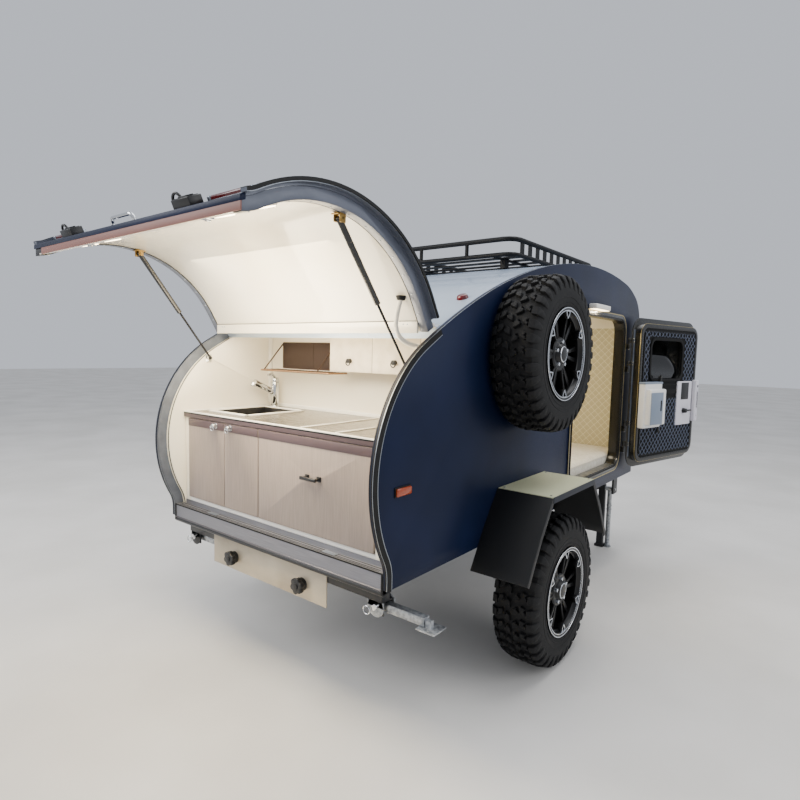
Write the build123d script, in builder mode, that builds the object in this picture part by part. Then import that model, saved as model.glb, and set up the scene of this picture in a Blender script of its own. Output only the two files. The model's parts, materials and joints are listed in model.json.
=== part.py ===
from build123d import *
import os
from math import cos, hypot, pi, radians, sin

# Teardrop trailer in millimetres. X is to the right, Y is the way it is towed and Z is up.
# The origin is the centre of the tow ball.

# Where the axle line and the road are, seen from the tow ball
axle_y = -3050
road_z = -450

# The body across: outer face of the side walls, inner side of their lip, and their inner face
wall_outer = 721
lip_inner = 700
wall_inner = 671

# The side outline, from the foot of the tail up and over the roof. A left turn is positive.
tail_foot = (-1050, 640)
tail_rise = 42
outline_arcs = [  # radius, turn in degrees
    (150, 28.5),
    (590, -87.5),
    (3530, -39.4),
    (825, -18.3),
    (215, -63.3),
]

# Depths below the outline: the lip's step, the fixed panels and the hatch
step_depth = 48
panel_top = 4
hatch_top = 4
hatch_skin = 34
hatch_rail = 43
liner_face = 40

# The hatch hinge, just outside the skin, and the slope of the cut beside it
hinge = (-756, 1610)
hinge_slope = 29.2
hatch_open = 90
hatch_foot = 708
hatch_half_width = 695
liner_half_width = 655
nose_seam = 1700

# The hinge's bar and leaves: directions are angles in the side view, with the hatch closed
hinge_bar = 6
hinge_half_width = 688
leaf_thick = 3
web_direction = -20
web_length = 18
hinge_lift = 11
leaf_direction = 229
leaf_length = 46
curl_from = 150
curl_sweep = 150

# Doors: frame, leaf and hinge pin. The opening angle is what the parked door shows.
door_middle = (1057.5, 1251.5)
frame_size = (945, 1073)
sleeve_size = (900, 1028)
clear_size = (870, 998)
leaf_size = (854, 982)
skin_size = (935, 1063)
frame_proud = 5
leaf_skin = (13, 19)
leaf_depth = 60
door_corner = 100
door_pin = (750, 1531)
door_open = 167
hinge_heights = (873, 1020, 1441, 1601)
hinge_half = 40
hinge_radius = 8
window_size = (470, 290)
window_place = (420, 1491)
window_sill = 10
window_depth = (35, 40)

# Wheels: the road pair stand a little forward of the fenders' middle
tyre_radius = 367.5
tyre_root = 351
rim_radius = 203
rim_ring = 216
lug_count = 20
spoke_width = 20
spoke_lean = 10
wheel_x = 865
wheel_y = 12
spare_centre = (839, -53, 1512)
stub_radius = 20
arm_x = 600
arm_pivot = (160, 500)
running_gap = 0.05

# Galley
bulkhead_y = -460
counter_front = -1018
counter_top = 1177
counter_thick = 25
cabinet_x = (-622, 622)
cabinet_split = (-319, -64)
cabinet_foot = 745
sink_x = (-600, -300)
sink_y = (-900, -560)
bowl_x = (sink_x[0] - 3, sink_x[1] + 3)
bowl_y = (sink_y[0] - 3, sink_y[1] + 3)
bowl_z = 1030
door_front = -1016
front_z = (747, 1148)
knob_z = 1132
pull_z = 985
upper_x = (-44, 233, 510, 671)
upper_z = (1403, 1584)
upper_front = -600
upper_knob_z = 1456

# Hatch hardware near the free edge: its seats on the skin, the skin's slope there and how far it stands out
lock_x = 400
lock_seat = (-1061.5, 740)
lock_proud = 33
handle_proud = 30
lamp_seat = (-1086.5, 790)
lamp_proud = 18
tail_slope = 23.5

# Gas struts: the pin under the hatch as it stands open, the pin on the wall, tube and rod
strut_x = 645
strut_top = (-1245, 1930)
strut_foot = (-875, 1450)
strut_tube = 325
tube_radius = 11
rod_radius = 5

# Conduit from the right wall into the open hatch, a point for each bend, with the hatch open
conduit_radius = 10
conduit_points = [  # across, forward, up
    (620, -882, 1706),
    (620, -915, 1630),
    (620, -900, 1568),
    (621, -845, 1540),
    (628, -795, 1529),
    (645, -765, 1528),
    (667, -757, 1528),
]

# Chassis
rail_x = 560
rail_z = (560, 640)
rear_leg_x = (620, -600)
rear_pin_z = 535
jockey_y = 2620
jockey_z = 100
jockey_facets = 48


def at(y, z):
    """A point of a side view, given forward of the axle and above the road."""
    return (axle_y + y, road_z + z)


def spot(x, y, z):
    """A point given across, forward of the axle and above the road."""
    return (x, axle_y + y, road_z + z)


def block(x, y, z, mode=Mode.ADD):
    """A box between two x, two y and two z, in the open part."""
    with Locations(spot((x[0] + x[1]) / 2, (y[0] + y[1]) / 2, (z[0] + z[1]) / 2)):
        Box(abs(x[1] - x[0]), abs(y[1] - y[0]), abs(z[1] - z[0]), mode=mode)


def rod(start, end, radius, mode=Mode.ADD):
    """A round bar between two points, in the open part."""
    a = Vector(*spot(*start))
    b = Vector(*spot(*end))
    with Locations(Location(Plane(origin=(a + b) / 2, z_dir=b - a))):
        Cylinder(radius, (b - a).length, mode=mode)


def outline(depth=0):
    """The side outline as a face, drawn in by depth all round."""
    with BuildSketch() as side:
        with BuildLine():
            start = at(*tail_foot)
            run = Line(start, (start[0], start[1] + tail_rise))
            for radius, turn in outline_arcs:
                run = JernArc(run @ 1, run % 1, radius, turn)
            nose = Line(run @ 1, ((run @ 1).X, start[1]))
            Line(nose @ 1, start)
        make_face()
        if depth:
            offset(amount=-depth, kind=Kind.INTERSECTION)
    return side.sketch


def band(top, bottom):
    """The strip of the side view between two depths below the outline."""
    with BuildSketch() as strip:
        add(outline(top))
        add(outline(bottom), mode=Mode.SUBTRACT)
    return strip.sketch


def beside_hinge(gap, reach, side):
    """A corner of the cut beside the hinge: gap along the roof, reach outwards along its normal."""
    along = (cos(radians(hinge_slope)), sin(radians(hinge_slope)))
    outward = (-along[1], along[0])
    return at(
        hinge[0] + gap * side * along[0] + reach * outward[0],
        hinge[1] + gap * side * along[1] + reach * outward[1],
    )


def save(piece, name):
    """Give a piece its name and write it."""
    piece.part.label = name
    export_step(piece.part, f"parts/{name}.step")


os.makedirs("parts", exist_ok=True)
sides = [("right", 1), ("left", -1)]

# Side walls: a lip on the full outline and a step inside it, with the door opening cut
for name, side in sides:
    with BuildPart() as side_wall:
        with BuildSketch(Plane.YZ.offset(side * lip_inner)):
            add(outline())
        extrude(amount=side * (wall_outer - lip_inner))
        with BuildSketch(Plane.YZ.offset(side * wall_inner)):
            add(outline(step_depth))
        extrude(amount=side * (lip_inner - wall_inner))
        with BuildSketch(Plane.YZ.offset(side * wall_inner)):
            with Locations(at(*door_middle)):
                RectangleRounded(*sleeve_size, door_corner)
        extrude(amount=side * (wall_outer - wall_inner), mode=Mode.SUBTRACT)
        rod((side * 656, *strut_foot), (side * (wall_inner + 5), *strut_foot), 5)
    save(side_wall, f"side_wall_{name}")

# Roof panel, from the hatch hinge to the seam above the nose
with BuildPart() as roof_panel:
    with BuildSketch(Plane.YZ):
        add(band(panel_top, step_depth))
        with BuildLine():
            Polyline(
                beside_hinge(6, 200, 1),
                beside_hinge(6, -200, 1),
                at(-400, nose_seam),
                at(2000, nose_seam),
                at(2000, 2200),
                at(-800, 2200),
                close=True,
            )
        make_face(mode=Mode.INTERSECT)
    extrude(amount=lip_inner, both=True)
save(roof_panel, "roof_panel")

# Nose panel, below the roof's seam
with BuildPart() as nose_panel:
    with BuildSketch(Plane.YZ):
        add(band(panel_top, step_depth))
        with Locations(at(1800, (nose_seam + 688) / 2)):
            Rectangle(400, nose_seam - 688, mode=Mode.INTERSECT)
    extrude(amount=lip_inner, both=True)
save(nose_panel, "nose_panel")

# Floor
with BuildPart() as floor:
    block((-lip_inner, lip_inner), (-1000, 1844), (640, 688))
save(floor, "floor")

# Rear sill under the hatch: an upright face, a ledge behind it and a round lip below
with BuildPart() as rear_sill:
    block((-lip_inner, lip_inner), (-1048, -1003), (628, 700))
    block((-wall_inner, wall_inner), (-1004, -985), (688, 722))
    rod((-lip_inner, -1040, 622), (lip_inner, -1040, 622), 11)
save(rear_sill, "rear_sill")

# Galley bulkhead between the galley and the cabin, up to the roof panel
with BuildPart() as galley_bulkhead:
    with BuildSketch(Plane.YZ):
        add(outline(step_depth))
        with Locations(at(bulkhead_y + 10, 1250)):
            Rectangle(20, 1124, mode=Mode.INTERSECT)
    extrude(amount=wall_inner, both=True)
save(galley_bulkhead, "galley_bulkhead")

# Door frames: a flange on the wall and a sleeve through it
for name, side in sides:
    with BuildPart() as door_frame:
        with BuildSketch(Plane.YZ.offset(side * wall_outer)):
            with Locations(at(*door_middle)):
                RectangleRounded(*frame_size, door_corner + 10)
                RectangleRounded(*clear_size, door_corner - 15, mode=Mode.SUBTRACT)
        extrude(amount=side * frame_proud)
        with BuildSketch(Plane.YZ.offset(side * (wall_inner - 8))):
            with Locations(at(*door_middle)):
                RectangleRounded(*sleeve_size, door_corner)
                RectangleRounded(*clear_size, door_corner - 15, mode=Mode.SUBTRACT)
        extrude(amount=side * (wall_outer - wall_inner + 8))
        for z in hinge_heights:
            pin = (side * door_pin[0], door_pin[1])
            rod((*pin, z - hinge_half), (*pin, z - 1), hinge_radius)
            block((side * wall_outer, pin[0]), (pin[1] - 2, pin[1] + 6), (z - hinge_half, z - 1))
    save(door_frame, f"door_frame_{name}")

# Porch lamps above the doors
with BuildPart() as porch_lamps:
    for name, side in sides:
        block((side * wall_outer, side * 770), (800, 1050), (1790, 1820))
save(porch_lamps, "porch_lamps")

# Chassis: two rails, cross tubes and the brackets for the steady legs
with BuildPart() as chassis:
    for name, side in sides:
        block((side * (rail_x - 25), side * (rail_x + 25)), (-1000, 1850), rail_z)
    for y in (-975, -500, 0, 600, 1200, 1825):
        block((-rail_x, rail_x), (y - 25, y + 25), rail_z)
    block((-640, 655), (-1000, -950), rail_z)
    for x in rear_leg_x:
        block((x - 35, x + 35), (-990, -930), (556, 562))
        for y in (-987, -933):
            block((x - 35, x + 35), (y - 3, y + 3), (505, 562))
    for name, side in sides:
        block((side * 585, side * 600), (1850, 1935), (440, 600))
        block((side * 440, side * 455), (1850, 1935), (440, 600))
        block((side * 440, side * 600), (1850, 1860), rail_z)
save(chassis, "chassis")

# Drawbar: two tubes that close on the coupling
with BuildPart() as drawbar:
    for name, side in sides:
        a = Vector(*spot(side * 420, 1250, 530))
        b = Vector(*spot(side * 40, 2850, 530))
        with Locations(Location(Plane(origin=(a + b) / 2, x_dir=(0, 0, 1), z_dir=b - a))):
            Box(60, 50, (b - a).length)
    block((-90, 90), (2760, 2900), (500, 560))
    block((-430, 430), (1180, 1290), (500, 560))
    block((-85, 85), (2575, 2665), (505, 555))
    rod((0, jockey_y, 500), (0, jockey_y, 560), 30, mode=Mode.SUBTRACT)
save(drawbar, "drawbar")

# Tow coupling: a head that drops over the ball, open below
with BuildPart() as tow_coupling:
    block((-35, 35), (2860, 3060), (490, 500))
    block((-28, 28), (2870, 3000), (470, 490))
    with Locations(spot(0, 3050, 465)):
        Cylinder(40, 70)
    with Locations(spot(0, 3050, 450)):
        Sphere(25.5, mode=Mode.SUBTRACT)
        Cylinder(25.5, 60, align=(Align.CENTER, Align.CENTER, Align.MAX), mode=Mode.SUBTRACT)
save(tow_coupling, "tow_coupling")

# Axle: a beam under the rails, trailing arms and stub axles
with BuildPart() as axle:
    block((-620, 620), (130, 190), (470, 530))
    for name, side in sides:
        block((side * 510, side * 610), (120, 200), (520, 560))
        run = Vector(0, wheel_y - arm_pivot[0], tyre_radius - arm_pivot[1])
        arm = Plane(origin=spot(side * arm_x, *arm_pivot), x_dir=(1, 0, 0), z_dir=run)
        with Locations(Location(arm)):
            Box(40, 60, run.length, align=(Align.CENTER, Align.CENTER, Align.MIN))
        wheel_line = (wheel_y, tyre_radius)
        rod((side * (arm_x - 10), *wheel_line), (side * (arm_x + 60), *wheel_line), 40)
        rod((side * (arm_x + 50), *wheel_line), (side * (wheel_x - 5), *wheel_line), stub_radius)
save(axle, "axle")

# Fenders: a folded sheet over each wheel with a small lip along its outer edge
fender_line = [  # forward, up
    (-475, 550),
    (-445, 600),
    (-362, 735),
    (-252, 881),
    (260, 881),
    (370, 735),
    (453, 600),
    (483, 550),
]
for name, side in sides:
    with BuildPart() as fender:
        with BuildSketch(Plane.YZ.offset(side * wall_outer)):
            with BuildLine():
                Polyline(*[at(y, z) for y, z in fender_line])
                offset(amount=-5, side=Side.RIGHT, closed=True)
            make_face()
        extrude(amount=side * 275)
        with BuildSketch(Plane.YZ.offset(side * 991)):
            with BuildLine():
                Polyline(*[at(y, z) for y, z in fender_line])
                offset(amount=-25, side=Side.RIGHT, closed=True)
            make_face()
        extrude(amount=side * 5)
    save(fender, f"fender_{name}")

# Rear plate with its two star knobs
with BuildPart() as rear_plate:
    block((-420, 365), (-1006, -1000), (455, 612))
    for x in (-250, 222):
        rod((x, -1006, 518), (x, -1032, 518), 28)
save(rear_plate, "rear_plate")

# Wheels: a tyre with two rows of lugs and a rim with six split spokes and the drum behind it
facets = 2 * lug_count
lug_share = 0.27
tread_half = 98
shoulder = (98, 345)  # half width, radius
bulge = (112.5, 289)
bulge_inner = (112.5, 281)
bead = (100, 222)
rim_section = [  # towards the face, radius
    (-109, 196),
    (-109, rim_ring),
    (-101, rim_ring),
    (-101, rim_radius),
    (101, rim_radius),
    (101, rim_ring),
    (109, rim_ring),
    (109, 192),
    (85, 188),
    (-60, 188),
]


def tread_outline(turn):
    """The tread seen along the axle, with flat-topped lugs, turned by a share of a pitch."""
    lug_tip = tyre_radius / cos(2 * pi * lug_share / lug_count)
    points = []
    for k in range(lug_count):
        for share, radius in (
            (-lug_share, tyre_root),
            (-lug_share, lug_tip),
            (lug_share, lug_tip),
            (lug_share, tyre_root),
        ):
            angle = 2 * pi * (k + share + turn) / lug_count
            points.append((radius * cos(angle), radius * sin(angle)))
    return points


def tyre(centre):
    """A tyre about a centre, its axle along X."""
    middle = Vector(*spot(*centre))

    def across(x):
        return Plane(origin=middle + Vector(x, 0, 0), x_dir=(0, 0, -1), z_dir=(1, 0, 0))

    with BuildPart() as ring:
        for first, turn in ((-tread_half, 0), (0, 0.5)):
            with BuildSketch(across(first)):
                with BuildLine():
                    Polyline(*tread_outline(turn), close=True)
                make_face()
            extrude(amount=tread_half)
        for side in (-1, 1):
            for first, last, mode in ((shoulder, bulge, Mode.ADD), (bead, bulge_inner, Mode.SUBTRACT)):
                for half_width, radius in (first, last):
                    with BuildSketch(across(side * half_width)):
                        RegularPolygon(radius, facets, rotation=180 / facets)
                loft(mode=mode)
        with BuildSketch(across(-bulge[0])):
            RegularPolygon(rim_radius + 1, facets, rotation=180 / facets)
        extrude(amount=2 * bulge[0], mode=Mode.SUBTRACT)
    return ring


def rim(centre, side, drum):
    """A rim about a centre, its face towards side, with a brake drum behind it on a road wheel."""
    middle = Vector(*spot(*centre))
    with BuildPart() as wheel:
        with BuildSketch(Plane(origin=middle, x_dir=(side, 0, 0), z_dir=(0, -side, 0))):
            with BuildLine():
                Polyline(*rim_section, close=True)
            make_face()
        revolve(axis=Axis(middle, (1, 0, 0)))
        face = Plane(origin=middle + Vector(side * 45, 0, 0), x_dir=(0, 1, 0), z_dir=(side, 0, 0))
        with BuildSketch(face):
            Circle(75)
        extrude(amount=30)
        for lean in (-spoke_lean, spoke_lean):
            with BuildSketch(face):
                with PolarLocations(0, 6):
                    with Locations((130, spoke_width * lean / spoke_lean)):
                        Rectangle(140, spoke_width, rotation=lean)
            extrude(amount=26)
        with BuildSketch(face.offset(-10)):
            Circle(30)
        extrude(amount=70)
        if drum:
            with BuildSketch(face.offset(-150)):
                Circle(120)
            extrude(amount=70)
            with BuildSketch(face.offset(-85)):
                Circle(60)
            extrude(amount=90)
            with BuildSketch(face.offset(-150)):
                Circle(stub_radius + running_gap)
            extrude(amount=150, mode=Mode.SUBTRACT)
    return wheel


for name, side in sides:
    road_centre = (side * wheel_x, wheel_y, tyre_radius)
    save(tyre(road_centre), f"tyre_{name}")
    save(rim(road_centre, side, True), f"rim_{name}")
save(tyre(spare_centre), "spare_tyre")
save(rim(spare_centre, 1, False), "spare_rim")

# Spare wheel carrier: a plate on the wall and a tube that ends in the wheel's face
with BuildPart() as spare_carrier:
    spare_y = (spare_centre[1] - 100, spare_centre[1] + 100)
    spare_z = (spare_centre[2] - 100, spare_centre[2] + 100)
    block((wall_outer, wall_outer + 8), spare_y, spare_z)
    rod((wall_outer + 8, *spare_centre[1:]), (spare_centre[0] + 35, *spare_centre[1:]), 45)
save(spare_carrier, "spare_carrier")

# Roof rack: two bent tube rings with flat slats between them, a slatted floor and its feet
rack_x = 470
rack_y = (300, 1500)
rack_z = (2062, 2147)
rack_bend = 70
with BuildPart() as roof_rack:
    bend_x = rack_x - rack_bend
    corners = [(bend_x, rack_y[0] + rack_bend, -90), (bend_x, rack_y[1] - rack_bend, 0)]
    for z, radius in zip(rack_z, (13, 14)):
        stops = [spot(0, rack_y[0], z)]
        for x, y, first in corners:
            for turn in (first, first + 30, first + 60, first + 90):
                reach = (rack_bend * cos(radians(turn)), rack_bend * sin(radians(turn)))
                stops.append(spot(x + reach[0], y + reach[1], z))
        stops.append(spot(0, rack_y[1], z))
        with BuildLine() as half_ring:
            Polyline(*stops)
        with BuildSketch(Plane(origin=stops[0], z_dir=(1, 0, 0))):
            Circle(radius)
        sweep(path=half_ring.line, transition=Transition.RIGHT)
    mirror(about=Plane.YZ)
    for x in (-rack_x, rack_x):
        for k in range(11):
            y = rack_y[0] + 100 * (k + 1)
            block((x - 3, x + 3), (y - 22, y + 22), rack_z)
    for x in (-165, 165):
        for y in rack_y:
            rod((x, y, rack_z[0]), (x, y, rack_z[1]), 11)
    for k in range(9):
        y = rack_y[0] + 120 * (k + 1)
        block((-rack_x, rack_x), (y - 20, y + 20), (rack_z[0] - 4, rack_z[0] + 4))
    for x in (-350, 350):
        rod((x, rack_y[0], rack_z[0] - 8), (x, rack_y[1], rack_z[0] - 8), 9)
        for y in (420, 900, 1380):
            block((x - 15, x + 15), (y - 25, y + 25), (1950, rack_z[0]))
    with BuildSketch(Plane.YZ.offset(-700)):
        add(outline(panel_top))
    extrude(amount=1400, mode=Mode.SUBTRACT)
save(roof_rack, "roof_rack")

# Base cabinet: a carcass open at the front, with one upright
with BuildPart() as base_cabinet:
    block(cabinet_x, (-1000, bulkhead_y), (cabinet_foot - 20, counter_top - counter_thick))
    block(bowl_x, bowl_y, (bowl_z, counter_top), mode=Mode.SUBTRACT)
    inside_z = (cabinet_foot, counter_top - counter_thick - 16)
    for x in ((cabinet_x[0] + 16, cabinet_split[1] - 8), (cabinet_split[1] + 8, cabinet_x[1] - 16)):
        block(x, (-1000, bulkhead_y - 16), inside_z, mode=Mode.SUBTRACT)
save(base_cabinet, "base_cabinet")

# Worktop with its sink bowl
with BuildPart() as worktop:
    block((-662, 662), (counter_front, bulkhead_y), (counter_top - counter_thick, counter_top))
    block(bowl_x, bowl_y, (bowl_z, counter_top - 1))
    block(sink_x, sink_y, (bowl_z + 3, counter_top), mode=Mode.SUBTRACT)
save(worktop, "worktop")

# Tap behind the sink
with BuildPart() as tap:
    rod((-560, -510, counter_top), (-560, -510, 1300), 17)
    rod((-560, -510, 1290), (-600, -640, 1330), 12)
    rod((-600, -640, 1345), (-600, -640, 1290), 11)
save(tap, "tap")

# Upper cabinet, open at the front behind its doors
with BuildPart() as upper_cabinet:
    block((upper_x[0], upper_x[3]), (upper_front + 16, bulkhead_y), upper_z)
    for k in range(2):
        block(
            (upper_x[k] + 12, upper_x[k + 1] - 8),
            (upper_front + 16, bulkhead_y - 12),
            (upper_z[0] + 12, upper_z[1] - 12),
            mode=Mode.SUBTRACT,
        )
    block((upper_x[2] + 2, upper_x[3]), (upper_front, upper_front + 16), upper_z)
save(upper_cabinet, "upper_cabinet")

# Wire shelf: two rails, end braces and a mesh back panel
with BuildPart() as wire_shelf:
    block((-555, -60), (bulkhead_y - 6, bulkhead_y), (1400, 1540))
    rod((-590, -600, 1388), (-50, -600, 1388), 6)
    rod((-590, -490, 1388), (-50, -490, 1388), 4)
    for x in (-555, -100):
        rod((x, -600, 1388), (x, bulkhead_y - 3, 1388), 4)
        rod((x, -600, 1388), (x, bulkhead_y - 3, 1536), 4)
save(wire_shelf, "wire_shelf")

# Mattress on its base
with BuildPart() as mattress:
    block((-655, 655), (bulkhead_y + 40, 1795), (692, 830))
save(mattress, "mattress")


# Hatch, drawn closed and then swung up about its hinge
def swing(piece):
    """The piece as it stands with the hatch open."""
    pin = Axis(spot(0, *hinge), (1, 0, 0))
    return piece.part.rotate(pin, -hatch_open)


def hatch_region():
    """The side view behind the hinge and above the sill."""
    with BuildSketch() as region:
        with BuildLine():
            Polyline(
                beside_hinge(0, 300, 1),
                beside_hinge(0, -180, 1),
                at(-700, hatch_foot),
                at(-1300, hatch_foot),
                at(-1300, 1800),
                close=True,
            )
        make_face()
    return region.sketch


# The hatch hinge: a full-width bar on a web at the roof's edge, and a curled strip that turns on it
with BuildPart() as hatch_hinge:
    rod((-hinge_half_width, *hinge), (hinge_half_width, *hinge), hinge_bar)
    with BuildSketch(Plane.YZ):
        with Locations(Location((*at(*hinge), 0), (0, 0, web_direction))):
            with Locations((web_length / 2, 0)):
                Rectangle(web_length, leaf_thick)
        with Locations(Location((*at(*hinge), 0), (0, 0, hinge_slope))):
            with Locations((24, leaf_thick / 2 - hinge_lift - panel_top)):
                Rectangle(36, leaf_thick)
    extrude(amount=hinge_half_width, both=True)
save(hatch_hinge, "hatch_hinge")

with BuildPart() as hatch_closed:
    with BuildSketch(Plane.YZ):
        add(band(hatch_top, hatch_skin))
        add(hatch_region(), mode=Mode.INTERSECT)
    extrude(amount=hatch_half_width, both=True)
    with BuildSketch(Plane.YZ):
        with BuildLine():
            middle = at(*hinge)
            inner = CenterArc(middle, hinge_bar + 0.5, curl_from, curl_sweep)
            outer = CenterArc(middle, hinge_bar + 4, curl_from, curl_sweep)
            Line(inner @ 0, outer @ 0)
            Line(inner @ 1, outer @ 1)
        make_face()
        with Locations(Location((*middle, 0), (0, 0, leaf_direction))):
            with Locations((hinge_bar + 2 + leaf_length / 2, 0)):
                Rectangle(leaf_length, leaf_thick)
    extrude(amount=hinge_half_width, both=True)
    for name, side in sides:
        with BuildSketch(Plane.YZ.offset(side * (hatch_half_width - 35))):
            add(band(hatch_skin, hatch_rail))
            add(hatch_region(), mode=Mode.INTERSECT)
        extrude(amount=side * 35)
        block((side * 659, side * 663), (-1110, -1062), (1108, 1134))
with BuildPart() as hatch_shell:
    add(swing(hatch_closed))
save(hatch_shell, "hatch_shell")

with BuildPart() as liner_closed:
    with BuildSketch(Plane.YZ):
        add(band(hatch_skin, liner_face))
        add(hatch_region(), mode=Mode.INTERSECT)
    extrude(amount=liner_half_width, both=True)
with BuildPart() as hatch_liner:
    add(swing(liner_closed))
save(hatch_liner, "hatch_liner")

# Hatch hardware, in the closed place: two locks, a handle between them and two tail lamps
def on_tail(x, seat, proud=0):
    """A plane on the tail's skin at a seat, X across and Z out of the skin, raised by proud."""
    slope = radians(tail_slope)
    return Plane(origin=spot(x, *seat), x_dir=(1, 0, 0), z_dir=(0, -cos(slope), -sin(slope))).offset(proud)


def trim_to_skin(width):
    """Cut away what lies under the hatch's skin, in the open part."""
    with BuildSketch(Plane.YZ.offset(-width)) as under:
        add(outline(hatch_top))
    extrude(under.sketch, amount=2 * width, mode=Mode.SUBTRACT)


with BuildPart() as locks_closed:
    for x in (-lock_x, lock_x):
        with Locations(Location(on_tail(x, lock_seat, -12))):
            Box(92, 48, lock_proud + 12, align=(Align.CENTER, Align.CENTER, Align.MIN))
        ring_plane = on_tail(x - 46, lock_seat, lock_proud - 5)
        with BuildSketch(Plane(origin=ring_plane.origin, x_dir=(1, 0, 0), z_dir=ring_plane.y_dir)):
            Circle(27)
            Circle(19, mode=Mode.SUBTRACT)
        extrude(amount=4, both=True)
    trim_to_skin(500)
with BuildPart() as hatch_locks:
    add(swing(locks_closed))
save(hatch_locks, "hatch_locks")

with BuildPart() as handle_closed:
    foot = on_tail(0, lock_seat)
    corners = [(-75, -15), (-75, handle_proud), (75, handle_proud), (75, -15)]
    with BuildLine() as arch:
        FilletPolyline(*[foot.origin + foot.x_dir * x + foot.z_dir * out for x, out in corners], radius=20)
    with BuildSketch(Plane(origin=arch.line @ 0, z_dir=arch.line % 0)):
        Circle(6.5)
    sweep(path=arch.line)
    trim_to_skin(120)
with BuildPart() as hatch_handle:
    add(swing(handle_closed))
save(hatch_handle, "hatch_handle")

with BuildPart() as lamps_closed:
    for name, side in sides:
        with Locations(Location(on_tail(side * 557, lamp_seat, -12))):
            Box(220, 42, 12 + lamp_proud, align=(Align.CENTER, Align.CENTER, Align.MIN))
    trim_to_skin(680)
with BuildPart() as tail_lamps:
    add(swing(lamps_closed))
save(tail_lamps, "tail_lamps")

# Gas struts: a tube under the hatch and a rod that slides in it down to the wall
run_y = strut_foot[0] - strut_top[0]
run_z = strut_foot[1] - strut_top[1]
strut_length = hypot(run_y, run_z)


def along_strut(x, distance):
    """A point on a strut, measured down from its top pin."""
    share = distance / strut_length
    return (x, strut_top[0] + run_y * share, strut_top[1] + run_z * share)


for name, side in sides:
    x = side * strut_x
    with BuildPart() as strut_tube_piece:
        rod(along_strut(x, 0), along_strut(x, strut_tube), tube_radius)
        bore = rod_radius + running_gap
        rod(along_strut(x, 20), along_strut(x, strut_tube + 1), bore, mode=Mode.SUBTRACT)
        rod((x - 12, *strut_top), (x + 12, *strut_top), 7)
    save(strut_tube_piece, f"strut_tube_{name}")
    with BuildPart() as strut_rod_piece:
        rod(along_strut(x, strut_tube - 30), along_strut(x, strut_length), rod_radius)
        with Locations(spot(x, *strut_foot)):
            Sphere(9)
    save(strut_rod_piece, f"strut_rod_{name}")


# Conduit: straight runs joined by the largest arcs that fit them
bends = [Vector(*spot(*point)) for point in conduit_points]
bend_radii = []
for before, corner, after in zip(bends, bends[1:], bends[2:]):
    shorter = min((corner - before).length, (after - corner).length)
    half_turn = radians((corner - before).get_angle(after - corner)) / 2
    bend_radii.append(0.45 * shorter * cos(half_turn) / sin(half_turn))
print("conduit bend radii", [round(radius) for radius in bend_radii])
with BuildPart() as conduit:
    with BuildLine() as route:
        FilletPolyline(*bends, radius=bend_radii)
    with BuildSketch(Plane(origin=route.line @ 0, z_dir=route.line % 0)):
        Circle(conduit_radius)
    sweep(path=route.line)
save(conduit, "conduit")


# Doors, drawn closed about their hinge pin; the right one stands open
def leaf_plane(side, angle):
    """The plane of a closed leaf turned open by angle: X runs back from the pin and Z outwards."""
    turn = radians(angle)
    return Plane(
        origin=spot(side * door_pin[0], door_pin[1], door_middle[1]),
        x_dir=(side * sin(turn), -cos(turn), 0),
        z_dir=(side * cos(turn), sin(turn), 0),
    )


def up(side, z):
    """A height above the road as a place along the leaf plane's Y."""
    return (door_middle[1] - z) * side


leaf_middle = door_pin[1] - door_middle[0]
leaf_turn = {"right": door_open, "left": 0}
for name, side in sides:
    leaf = leaf_plane(side, leaf_turn[name])
    window = (window_place[0], up(side, window_place[1]))
    with BuildPart() as door_leaf:
        with BuildSketch(leaf.offset(-leaf_skin[1])):
            with Locations((leaf_middle, 0)):
                RectangleRounded(*skin_size, door_corner + 5)
        extrude(amount=leaf_skin[1] - leaf_skin[0])
        with BuildSketch(leaf.offset(-leaf_depth)):
            with Locations((leaf_middle, 0)):
                RectangleRounded(*leaf_size, door_corner - 20)
        extrude(amount=leaf_depth - leaf_skin[1])
        with BuildSketch(leaf.offset(-leaf_depth)):
            with Locations(window):
                RectangleRounded(*window_size, 60)
        extrude(amount=leaf_depth - window_sill, mode=Mode.SUBTRACT)
        for z in hinge_heights:
            height = up(side, z + hinge_half / 2)
            with BuildSketch(leaf.offset(-leaf_skin[0])):
                with Locations((14, height)):
                    Rectangle(28, hinge_half - 2)
            extrude(amount=9)
            with Locations(leaf):
                with Locations(Location((0, height, 0), (90, 0, 0))):
                    Cylinder(hinge_radius, hinge_half - 2)
    save(door_leaf, f"door_leaf_{name}")
    with BuildPart() as door_window:
        with BuildSketch(leaf.offset(-window_depth[1])):
            with Locations(window):
                RectangleRounded(*window_size, 60)
        extrude(amount=window_depth[1] - window_depth[0])
    save(door_window, f"door_window_{name}")

# Waste bin and lock on the inner face of the right door: along the leaf, up, and depth in from the pin
bin_rows = [  # along, up, depth
    ((50, 290), (1008, 1330), (leaf_depth, 112)),
    ((62, 278), (1030, 1285), (112, 150)),
]
lock_rows = [  # along, up, depth
    ((600, 830), (995, 1330), (leaf_depth, 75)),
    ((845, 893), (1015, 1340), (leaf_depth, 102)),
]
for name, rows in (("door_bin", bin_rows), ("door_lock", lock_rows)):
    with BuildPart() as fitting:
        for along, height, depth in rows:
            with BuildSketch(leaf_plane(1, door_open).offset(-depth[0])):
                with Locations((sum(along) / 2, up(1, sum(height) / 2))):
                    RectangleRounded(along[1] - along[0], height[1] - height[0], 12)
            extrude(amount=depth[0] - depth[1])
    save(fitting, name)

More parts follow.
